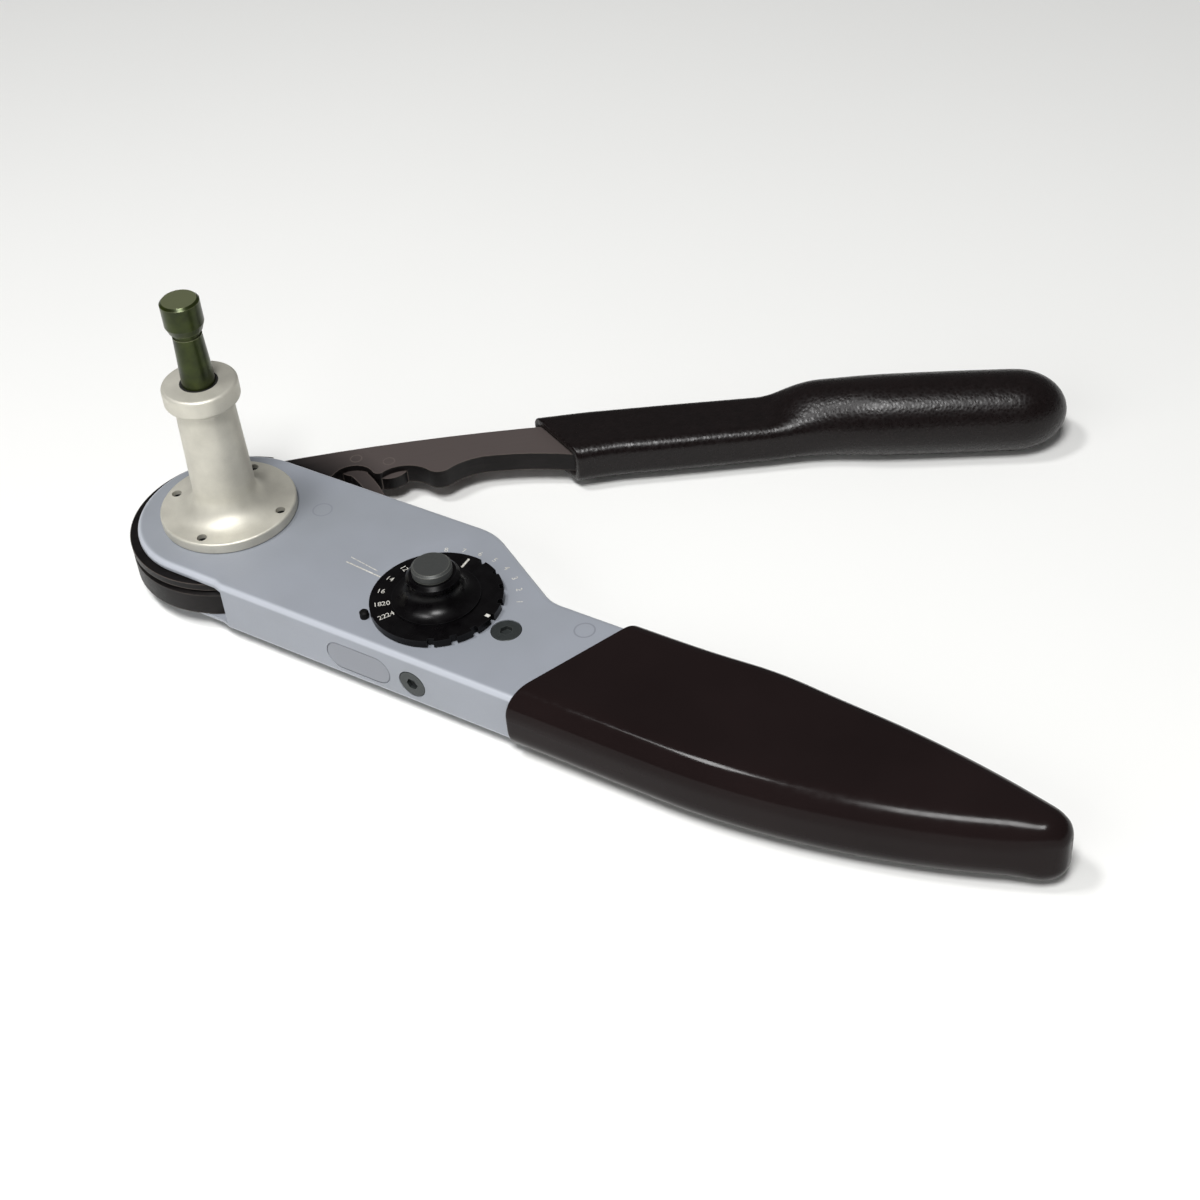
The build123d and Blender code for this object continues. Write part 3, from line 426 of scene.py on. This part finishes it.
# Vinyl plastisol: a smooth black coat with a brown cast, which mirrors the soft boxes in thin
# bright lines along its rolled edges. The pips only dull it in places.
vinyl, tree, shader, place = new_material("dipped_vinyl_plastisol")
ripple = add_node(tree, "TexNoise", {"Vector": place, "Scale": 1 / ripple_size, "Detail": 2.0}).outputs[0]
pips = add_node(tree, "TexNoise", {"Vector": place, "Scale": 1 / pip_size, "Detail": 3.0}).outputs[0]
shade = add_node(tree, "Mix", {0: ripple, 6: vinyl_deep, 7: vinyl_brown}, data_type="RGBA").outputs[2]
along = add_node(tree, "SeparateXYZ", {0: place}).outputs[0]
dulled = add_node(tree, "MapRange",
                  {0: along, 1: dull_start, 2: dull_end, 3: vinyl_rough[0], 4: vinyl_rough[1]}).outputs[0]
speckle = add_node(tree, "MapRange", {0: pips, 1: 0.35, 2: 0.7, 3: 0.0, 4: pip_rough}).outputs[0]
gloss = add_node(tree, "Math", {0: dulled, 1: speckle}, operation="ADD").outputs[0]
relief = add_node(tree, "Bump", {"Height": pips, "Strength": 0.03, "Distance": pip_height}).outputs[0]
set_sockets(tree, shader, {"Base Color": shade, "Roughness": gloss, "IOR": 1.4, "Specular IOR Level": 0.15,
                           "Normal": relief})
paint([dipped_grip], vinyl)
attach(dipped_grip, "frame")
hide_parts("fixed_grip")

# Moving grip: a moulded vinyl sleeve pushed over the arm, flat where it begins and swollen into
# a round bulb for the palm, first at its back and last along its front. Its mould was grained,
# so light breaks into a broad sparkle on it.
hide_deep = linear("#0b0707")
hide_brown = linear("#171111")
grain_size = 0.85 * MM          # one cell of the grain
grain_height = 0.16 * MM
grain_wander = 0.45             # the grain's depth wanders this much slower than its cells
hide_rough = (0.24, 0.38)       # roughness in the middle of a cell and at its rim

# From here on the lengths are in millimetres, along and across the arm.
sleeve_back = ((79.0, 28.8), (95.0, 28.5), (140.0, 24.6), (165.0, 18.9))
sleeve_front = ((88.6, 9.6), (95.0, 9.7), (140.0, 6.9), (165.0, 6.2))
sleeve_mid_z = 6.7
sleeve_half_h = 5.4
sleeve_round = 3.2              # radius of the sleeve's edges
sleeve_lip = 0.6                # and of its mouth
mouth_u = 83.8                  # middle of the slanted mouth
mouth_slant = 9.6
slant_end = 118.0               # sections stand square from here
swell_start = 138.0             # the sleeve begins to turn into the bulb
swell_end_back = 153.0          # and is round at its back here
swell_end_front = 170.0         # and at its front here
bulb_start = (140.0, 16.3)      # a point of the bulb's axis, along and across the arm
bulb_tilt = math.radians(-9.3)
bulb_neck_r = 9.9
bulb_belly_r = 10.65            # it is fattest this far along
bulb_belly_at = 45.0
bulb_length = 76.6
bulb_dome = 13.0                # length of its rounded end
dome_least = 0.0004             # square of the share of the radius that the last section keeps
bulb_mid_z = 9.2
bulb_straight = bulb_length - bulb_dome
arm_grip = 2.7                  # the sleeve's inner face lies this far in from its outside
sleeve_inside = 4.0             # the mouth is seen into this far
sleeve_margin = 1.5             # from the mouth to the first whole section
swell_bend = 0.3                # share of the back's swell in which it bends
sleeve_steps, swell_steps, bulb_steps, dome_steps = 20, 28, 14, 10


def arm_point(u, n, z):
    """Row frame point, in metres, from millimetres along and across the arm."""
    return Vector((u * math.cos(arm_turn) - n * math.sin(arm_turn),
                   u * math.sin(arm_turn) + n * math.cos(arm_turn), z)) * MM


def along_line(points, u):
    """Height at u of a line through points."""
    for (u0, n0), (u1, n1) in zip(points, points[1:]):
        if u < u1:
            break
    return n0 + (n1 - n0) * (u - u0) / (u1 - u0)


def bulb_radius(along):
    """Radius of the bulb at a length along its axis, up to its end."""
    r = bulb_belly_r - (bulb_belly_r - bulb_neck_r) * (along / bulb_belly_at - 1) ** 2
    past = max(along - bulb_straight, 0) / bulb_dome
    return r * math.sqrt(max(1 - past**2, dome_least))


def soft_step(share):
    """Rises from 0 to 1, sooner than ease does: it bends quickly and then levels out."""
    share = min(max(share, 0), 1)
    risen = share**2 / (2 * swell_bend) if share < swell_bend else share - swell_bend / 2
    return 1 - (1 - risen / (1 - swell_bend / 2)) ** 2


def palm_ring(along, inset):
    """One section of the palm grip, flat or round or on its way, drawn in all round."""
    u = bulb_start[0] + along * math.cos(bulb_tilt)
    back, front = along_line(sleeve_back, u), along_line(sleeve_front, u)
    half_w = (back - front) / 2
    slant = mouth_slant * (1 - ease((u - mouth_u) / (slant_end - mouth_u)))
    flat_r = max(sleeve_round - inset, least_round)
    flat = even_section(half_w - inset, sleeve_half_h - inset, flat_r, flat_r)
    r = bulb_radius(along)
    at_back = soft_step((u - swell_start) / (swell_end_back - swell_start))
    at_belly = ease((u - swell_start) / (swell_end_front - swell_start))
    ring = []
    for (across, up), (bulb_across, bulb_up) in zip(flat, even_section(r, r, r, r)):
        turned = at_back + (at_belly - at_back) * ((1 - across / half_w) / 2)
        flat_place = (u - slant / 2 * across / half_w, (back + front) / 2 + across, sleeve_mid_z + up)
        round_place = (u - bulb_across * math.sin(bulb_tilt),
                       bulb_start[1] + along * math.sin(bulb_tilt) + bulb_across * math.cos(bulb_tilt),
                       bulb_mid_z + bulb_up)
        ring.append(arm_point(*[a + (b - a) * turned for a, b in zip(flat_place, round_place)]))
    return ring


def bulb_along(u):
    """Length along the bulb's axis at a length along the arm."""
    return (u - bulb_start[0]) / math.cos(bulb_tilt)


palm_rings = [palm_ring(bulb_along(u), arm_grip) for u in (mouth_u + sleeve_inside, mouth_u)]
for left in [sleeve_lip * (1 - math.cos(math.radians(a))) for a in lip_angles]:
    palm_rings.append(palm_ring(bulb_along(mouth_u + left), round_over(left, sleeve_lip)))
sleeve_start = mouth_u + sleeve_margin
for start, end, steps in ((sleeve_start, swell_start, sleeve_steps),
                          (swell_start, swell_end_front, swell_steps)):
    for step in range(steps):
        palm_rings.append(palm_ring(bulb_along(start + step * (end - start) / steps), 0.0))
round_start = bulb_along(swell_end_front)
for step in range(bulb_steps + 1):
    palm_rings.append(palm_ring(round_start + (bulb_straight - round_start) * step / bulb_steps, 0.0))
for step in range(1, dome_steps + 1):
    a = math.radians(90 / dome_steps * step)
    palm_rings.append(palm_ring(bulb_straight + bulb_dome * math.sin(a), 0.0))
palm_grip = loft("grained_palm_grip", palm_rings)

# Grained vinyl: small cells of satin black, each of which throws back its own spark of light.
hide, tree, shader, place = new_material("grained_moulded_vinyl")
cells = add_node(tree, "TexVoronoi",
                 {"Vector": place, "Scale": 1 / grain_size, "Randomness": 1.0}).outputs[0]
wander = add_node(tree, "TexNoise",
                  {"Vector": place, "Scale": grain_wander / grain_size, "Detail": 3.0}).outputs[0]
height = add_node(tree, "Math", {0: cells, 1: wander}, operation="MULTIPLY").outputs[0]
shade = add_node(tree, "Mix", {0: wander, 6: hide_deep, 7: hide_brown}, data_type="RGBA").outputs[2]
gloss = add_node(tree, "MapRange", {0: cells, 1: 0.1, 2: 0.8, 3: hide_rough[0], 4: hide_rough[1]}).outputs[0]
relief = add_node(tree, "Bump", {"Height": height, "Strength": 0.50, "Distance": grain_height}).outputs[0]
set_sockets(tree, shader, {"Base Color": shade, "Roughness": gloss, "IOR": 1.45, "Specular IOR Level": 0.3,
                           "Normal": relief})
paint([palm_grip], hide)
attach(palm_grip, "handle")
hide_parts("moving_grip")

# Locator tower: aluminium bar turned to a flange, flared tube and collar, bead blasted all over
# and clear anodised. Blasting breaks the turning marks into a fine even frost, warm and pale.
frost_pale = linear("#d6d3c7")
frost_grey = linear("#c3c0b5")
bead_size = 0.45 * MM           # a bead's dent, drawn three times its real size to show
bead_height = 0.05 * MM
frost_rough = (0.46, 0.58)      # roughness in and between the dents
frost_patch = 7 * MM            # slow change of shade over the surface

# Blasted aluminium: a pale warm frost that spreads every highlight, with no turning mark left.
frosted, tree, shader, place = new_material("bead_blasted_aluminium")
dents = add_node(tree, "TexNoise", {"Vector": place, "Scale": 1 / bead_size, "Detail": 2.5}).outputs[0]
clouds = add_node(tree, "TexNoise", {"Vector": place, "Scale": 1 / frost_patch, "Detail": 3.0}).outputs[0]
grey = add_node(tree, "MapRange", {0: clouds, 1: noise_low, 2: noise_high}).outputs[0]
shade = add_node(tree, "Mix", {0: grey, 6: frost_grey, 7: frost_pale}, data_type="RGBA").outputs[2]
gloss = add_node(tree, "MapRange", {0: dents, 1: noise_low, 2: noise_high,
                                    3: frost_rough[0], 4: frost_rough[1]}).outputs[0]
relief = add_node(tree, "Bump", {"Height": dents, "Strength": 0.35, "Distance": bead_height}).outputs[0]
set_sockets(tree, shader, {"Base Color": shade, "Metallic": 0.55, "Roughness": gloss, "Normal": relief})
paint([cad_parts["locator_tower"]], frosted)

# Seal: a flat ring of black nitrile rubber, moulded and pressed into the tower's mouth, where it
# wipes the stem.
rubber_black = linear("#0d0d0c")
rubber_bloom = linear("#1b1b19")
bloom_size = 1.2 * MM           # patches of grey bloom
bloom_height = 0.05 * MM
rubber_rough = 0.6

# Nitrile rubber: matt black, which only the bloom lightens.
rubber, tree, shader, place = new_material("nitrile_rubber")
bloom = add_node(tree, "TexNoise", {"Vector": place, "Scale": 1 / bloom_size, "Detail": 3.0}).outputs[0]
shade = add_node(tree, "Mix", {0: bloom, 6: rubber_black, 7: rubber_bloom}, data_type="RGBA").outputs[2]
relief = add_node(tree, "Bump", {"Height": bloom, "Strength": 0.1, "Distance": bloom_height}).outputs[0]
set_sockets(tree, shader, {"Base Color": shade, "Roughness": rubber_rough, "IOR": 1.52, "Normal": relief})
paint([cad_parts["stem_seal"]], rubber)

# Adjusting screw: aluminium, turned and hard anodised olive. The dye takes a little unevenly and fine
# turning rings show through it; the top and the chamfers are painted paler as a highlight.
olive_dark = linear("#1d240c")
olive_mid = linear("#353e15")
olive_top_highlight = linear("#787d5e")
dye_size = 4 * MM               # patches of stronger and weaker dye
ring_step = 0.3 * MM            # from one turning ring to the next, drawn coarser than real to show
ring_stretch = 0.1              # rings change this much slower round the screw than along it
ring_height = 0.03 * MM
chamfer_width = 0.4 * MM
top_highlight_share = 0.85                # how far the top goes over to its paler shade
olive_rough = 0.30

# Olive anodising: a dyed glassy film on metal, dark round the sides, with a painted highlight on the top and
# the chamfers.
olive, tree, shader, place = new_material("olive_anodised_aluminium")
dye = add_node(tree, "TexNoise", {"Vector": place, "Scale": 1 / dye_size, "Detail": 3.0}).outputs[0]
turning = add_node(tree, "VectorMath", {0: place, 1: (ring_stretch, ring_stretch, 1)},
                   operation="MULTIPLY").outputs[0]
rings = add_node(tree, "TexNoise", {"Vector": turning, "Scale": 1 / ring_step, "Detail": 1.0}).outputs[0]
share = add_node(tree, "MapRange", {0: dye, 1: noise_low, 2: noise_high}).outputs[0]
shade = add_node(tree, "Mix", {0: share, 6: olive_dark, 7: olive_mid}, data_type="RGBA").outputs[2]
# Painted highlight: faces turned up, and the chamfers, go over to the pale shade.
facing = tree.nodes.new("ShaderNodeNewGeometry").outputs["Normal"]
facing_up = add_node(tree, "SeparateXYZ", {0: facing}).outputs[2]
lit_topside = add_node(tree, "MapRange", {0: facing_up, 1: 0.8, 2: 0.98, 4: top_highlight_share}).outputs[0]
edges = edge_mask(tree, chamfer_width)
painted_highlight = add_node(tree, "Math", {0: lit_topside, 1: edges}, operation="MAXIMUM").outputs[0]
shade = add_node(tree, "Mix", {0: painted_highlight, 6: shade, 7: olive_top_highlight}, data_type="RGBA").outputs[2]
relief = add_node(tree, "Bump", {"Height": rings, "Strength": 0.12, "Distance": ring_height}).outputs[0]
set_sockets(tree, shader, {"Base Color": shade, "Metallic": 0.55, "Roughness": olive_rough,
                           "Normal": relief})
paint([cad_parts["adjusting_screw"]], olive)

# Selector: dial and knob moulded in glossy black phenolic, with a grey cap over the shaft's end.
# Numbers and marks are filled in white on the dial; they are plain numbers in two rings.
phenolic_black = linear("#040304")
phenolic_soft = linear("#090809")
phenolic_worn = linear("#3a3b3d")
cap_grey = linear("#3f4140")
cap_light = linear("#4b4c4b")
cap_rim_highlight = linear("#86887f")
flow_size = 3 * MM              # flow marks of the moulding
flow_height = 0.05 * MM
flow_rough = (0.24, 0.34)       # roughness between and on the marks
rim_width = 0.25 * MM           # worn rims of the dial and the knob
rim_wear = 0.25
cap_grain = 0.5 * MM            # grain of the cast cap
cap_height = 0.03 * MM
cap_rim = 0.4 * MM
cap_rough = 0.45
ink_grey = linear("#9a978f")
ink_white = linear("#cfcdc6")
ink_wear = 0.6 * MM             # patches where the ink is rubbed thin
ink_rough = 0.55

# Phenolic: hard and nearly black, with a polish that the flow marks just break up.
phenolic, tree, shader, place = new_material("black_phenolic")
flow = add_node(tree, "TexNoise", {"Vector": place, "Scale": 1 / flow_size, "Detail": 4.0}).outputs[0]
share = add_node(tree, "MapRange", {0: flow, 1: 0.4, 2: 0.75}).outputs[0]
shade = add_node(tree, "Mix", {0: share, 6: phenolic_black, 7: phenolic_soft}, data_type="RGBA").outputs[2]
edges = edge_mask(tree, rim_width)
worn = add_node(tree, "Math", {0: edges, 1: rim_wear}, operation="MULTIPLY").outputs[0]
shade = add_node(tree, "Mix", {0: worn, 6: shade, 7: phenolic_worn}, data_type="RGBA").outputs[2]
gloss = add_node(tree, "MapRange", {0: flow, 1: noise_low, 2: noise_high,
                                    3: flow_rough[0], 4: flow_rough[1]}).outputs[0]
relief = add_node(tree, "Bump", {"Height": flow, "Strength": 0.05, "Distance": flow_height}).outputs[0]
set_sockets(tree, shader, {"Base Color": shade, "Roughness": gloss, "IOR": 1.5, "Specular IOR Level": 0.2,
                           "Normal": relief})
paint([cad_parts[name] for name in ("selector_dial", "selector_knob")], phenolic)

# Zinc: a cast cap, dulled to grey, with its rim painted lighter as a highlight.
cap_metal, tree, shader, place = new_material("grey_zinc_cap")
grain = add_node(tree, "TexNoise", {"Vector": place, "Scale": 1 / cap_grain, "Detail": 3.0}).outputs[0]
shade = add_node(tree, "Mix", {0: grain, 6: cap_grey, 7: cap_light}, data_type="RGBA").outputs[2]
# Painted highlight along the cap's rim.
edges = edge_mask(tree, cap_rim)
shade = add_node(tree, "Mix", {0: edges, 6: shade, 7: cap_rim_highlight}, data_type="RGBA").outputs[2]
relief = add_node(tree, "Bump", {"Height": grain, "Strength": 0.2, "Distance": cap_height}).outputs[0]
set_sockets(tree, shader, {"Base Color": shade, "Metallic": 0.4, "Roughness": cap_rough, "Normal": relief})
paint([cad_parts["knob_cap"]], cap_metal)

# Epoxy ink: an off-white film, dull, and thinner in patches.
ink, tree, shader, place = new_material("white_epoxy_ink")
worn = add_node(tree, "TexNoise", {"Vector": place, "Scale": 1 / ink_wear, "Detail": 3.0}).outputs[0]
share = add_node(tree, "MapRange", {0: worn, 1: 0.3, 2: 0.6}).outputs[0]
shade = add_node(tree, "Mix", {0: share, 6: ink_grey, 7: ink_white}, data_type="RGBA").outputs[2]
set_sockets(tree, shader, {"Base Color": shade, "Roughness": ink_rough, "IOR": 1.5})

selector_centre = (67.5, -4.95)
dial_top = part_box("selector_dial")[1].z
ink_t = 0.02 * MM
dial_numbers = (
    # text, angle about the shaft, radius of its middle
    ("12", 160, 13.6),
    ("14", -180, 13.6),
    ("16", -160, 13.6),
    ("18", -140, 13.9),
    ("20", -140, 11.9),
    ("22", -120, 13.9),
    ("24", -120, 11.9),
)
dial_bars = (
    # radius of its middle, angle about the shaft, length, width
    (13.0, 93, 3.4, 0.55),
    (14.8, -1, 1.2, 0.9),
)
dial_letter = 1.5               # height of a number
font_share = 1.4                # the font's own size for numbers one high


def letters(text, height, matrix):
    """Flat letters of one height, as a mesh in the row frame."""
    curve = bpy.data.curves.new(text, "FONT")
    curve.body = text
    curve.size = height * MM * font_share
    curve.align_x = "CENTER"
    curve.align_y = "CENTER"
    curve.extrude = ink_t
    curve.resolution_u = 3
    holder = bpy.data.objects.new(text, curve)
    bpy.context.scene.collection.objects.link(holder)
    bpy.context.view_layer.update()
    mesh = bpy.data.meshes.new_from_object(holder)
    bpy.data.objects.remove(holder)
    mesh.transform(matrix)
    return mesh


def bar(length, width, matrix):
    """A thin printed bar, along its own x."""
    mesh = bpy.data.meshes.new("bar")
    work = bmesh.new()
    bmesh.ops.create_cube(work, size=1, matrix=Matrix.Diagonal((length * MM, width * MM, 2 * ink_t, 1)))
    work.to_mesh(mesh)
    work.free()
    mesh.transform(matrix)
    return mesh


def one_piece(name, meshes):
    """Joins meshes into one object."""
    work = bmesh.new()
    for mesh in meshes:
        work.from_mesh(mesh)
        bpy.data.meshes.remove(mesh)
    joined = bpy.data.meshes.new(name)
    work.to_mesh(joined)
    work.free()
    made = bpy.data.objects.new(name, joined)
    bpy.context.scene.collection.objects.link(made)
    return made


def polar_place(radius, degrees, z, turn=0.0):
    """Place at a radius and an angle about the selector, facing up, its x along the radius."""
    a = math.radians(degrees)
    x = (selector_centre[0] + radius * math.cos(a)) * MM
    y = (selector_centre[1] + radius * math.sin(a)) * MM
    return Matrix.Translation((x, y, z)) @ Matrix.Rotation(a + math.radians(turn), 4, "Z")


marks = [letters(text, dial_letter, polar_place(radius, turn, dial_top, 180))
         for text, turn, radius in dial_numbers]
marks += [bar(length, width, polar_place(radius, turn, dial_top))
          for radius, turn, length, width in dial_bars]
dial_print = one_piece("dial_numbers", marks)
paint([dial_print], ink)
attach(dial_print, "selector")

# Frame print: a pair of fine white lines that point at the dial, and plain numbers round it,
# screen printed in the same ink.
plate_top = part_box("frame")[1].z
plate_lines = (
    # radius of its middle, angle about the shaft, length, width
    (23.4, 175.4, 11.0, 0.35),
    (24.6, 171.6, 9.0, 0.2),
)
plate_letter = 1.5              # height of a number
plate_numbers = 8
plate_number_r = 19.4
plate_number_turn = 28          # angle of the first number about the shaft
plate_number_step = 13          # and from one to the next
marks = [bar(length, width, polar_place(radius, turn, plate_top))
         for radius, turn, length, width in plate_lines]
for step in range(plate_numbers):
    spot = polar_place(plate_number_r, plate_number_turn + plate_number_step * step, plate_top, -90)
    marks.append(letters(str(step + 1), plate_letter, spot))
plate_print = one_piece("plate_print", marks)
paint([plate_print], ink)
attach(plate_print, "frame")

# Floor, lights and camera: a white paper sweep in a dim room, under two soft boxes that gloss
# mirrors, the right one further to the front, with a large fill in front that it doesn't mirror.
# The camera stands where the photograph was taken from, fitted to the frame's own outline.
floor_z = (bulb_mid_z - bulb_belly_r) * MM      # the tool lies on the bulb, its lowest form
floor_half = 3.0                # metres, from its middle to its edge
floor_centre = (0.1, 0.05)
paper_grey = linear("#ececea")
paper_white = linear("#f0f0ee")
paper_patch = 0.25              # slow change of shade, in metres
paper_rough = 0.9
floor_mesh = bpy.data.meshes.new("floor")
work = bmesh.new()
bmesh.ops.create_grid(work, x_segments=1, y_segments=1, size=floor_half)
work.to_mesh(floor_mesh)
work.free()
floor = bpy.data.objects.new("floor", floor_mesh)
bpy.context.scene.collection.objects.link(floor)
floor.location = (*floor_centre, floor_z)

# Paper: matt white, a little warm, with no grain to be seen from here.
paper, tree, shader, place = new_material("white_paper_sweep")
fibres = add_node(tree, "TexNoise", {"Vector": place, "Scale": 1 / paper_patch, "Detail": 3.0}).outputs[0]
shade = add_node(tree, "Mix", {0: fibres, 6: paper_grey, 7: paper_white}, data_type="RGBA").outputs[2]
set_sockets(tree, shader, {"Base Color": shade, "Roughness": paper_rough, "IOR": 1.45})
paint([floor], paper)

room_dim = 0.04                 # light of the room on the camera's side
room_bright = 0.13              # and behind the tool
world = bpy.data.worlds.new("studio")
bpy.context.scene.world = world
world.use_nodes = True
tree = world.node_tree
toward = tree.nodes.new("ShaderNodeTexCoord").outputs["Generated"]
behind = add_node(tree, "SeparateXYZ", {0: toward}).outputs[1]
glow = add_node(tree, "MapRange", {0: behind, 1: -0.1, 2: 0.6, 3: room_dim, 4: room_bright}).outputs[0]
tree.links.new(glow, tree.nodes["Background"].inputs["Strength"])
tree.nodes["Background"].inputs["Color"].default_value = linear("#ffffff")
bpy.context.scene.view_settings.view_transform = "Standard"

light_aim = Vector((0.10, 0.0, 0.01))
soft_boxes = (
    # name, place, width and depth in metres, watts, mirrored by gloss
    ("left_box", (-0.21, -0.26, 1.05), 0.20, 0.16, 4.2, True),
    ("right_box", (0.33, -0.46, 1.05), 0.30, 0.32, 11.5, True),
    ("front_fill", (-0.15, -1.30, 0.50), 1.40, 1.40, 9.0, False),
)
for name, spot, width, depth, watts, mirrored in soft_boxes:
    lamp = bpy.data.lights.new(name, "AREA")
    lamp.shape = "RECTANGLE"
    lamp.size = width
    lamp.size_y = depth
    lamp.energy = watts
    holder = bpy.data.objects.new(name, lamp)
    holder.location = spot
    holder.rotation_euler = (light_aim - Vector(spot)).to_track_quat("-Z", "Y").to_euler()
    holder.visible_glossy = mirrored
    bpy.context.scene.collection.objects.link(holder)

camera_spot = Vector((315.8, -284.7, 332.4)) * MM
camera_turn = 0.624             # radians about the vertical
camera_rise = 0.712             # up from the floor
camera_roll = -0.101            # and about the line of sight
lens_px = 2080.26               # focal length in pixels of the 1200 pixel frame
frame_px = 1200
back = Vector((math.sin(camera_turn) * math.cos(camera_rise),
               -math.cos(camera_turn) * math.cos(camera_rise), math.sin(camera_rise)))
right = Vector((math.cos(camera_turn), math.sin(camera_turn), 0))
up = back.cross(right)
rolled_right = math.cos(camera_roll) * right + math.sin(camera_roll) * up
rolled_up = math.cos(camera_roll) * up - math.sin(camera_roll) * right
view = bpy.data.cameras.new("camera")
view.sensor_width = 36.0
view.lens = view.sensor_width * lens_px / frame_px
view.clip_start = 0.01
view_holder = bpy.data.objects.new("camera", view)
view_holder.matrix_world = (Matrix.Translation(camera_spot)
                            @ Matrix((rolled_right, rolled_up, back)).transposed().to_4x4())
bpy.context.scene.collection.objects.link(view_holder)
bpy.context.scene.camera = view_holder
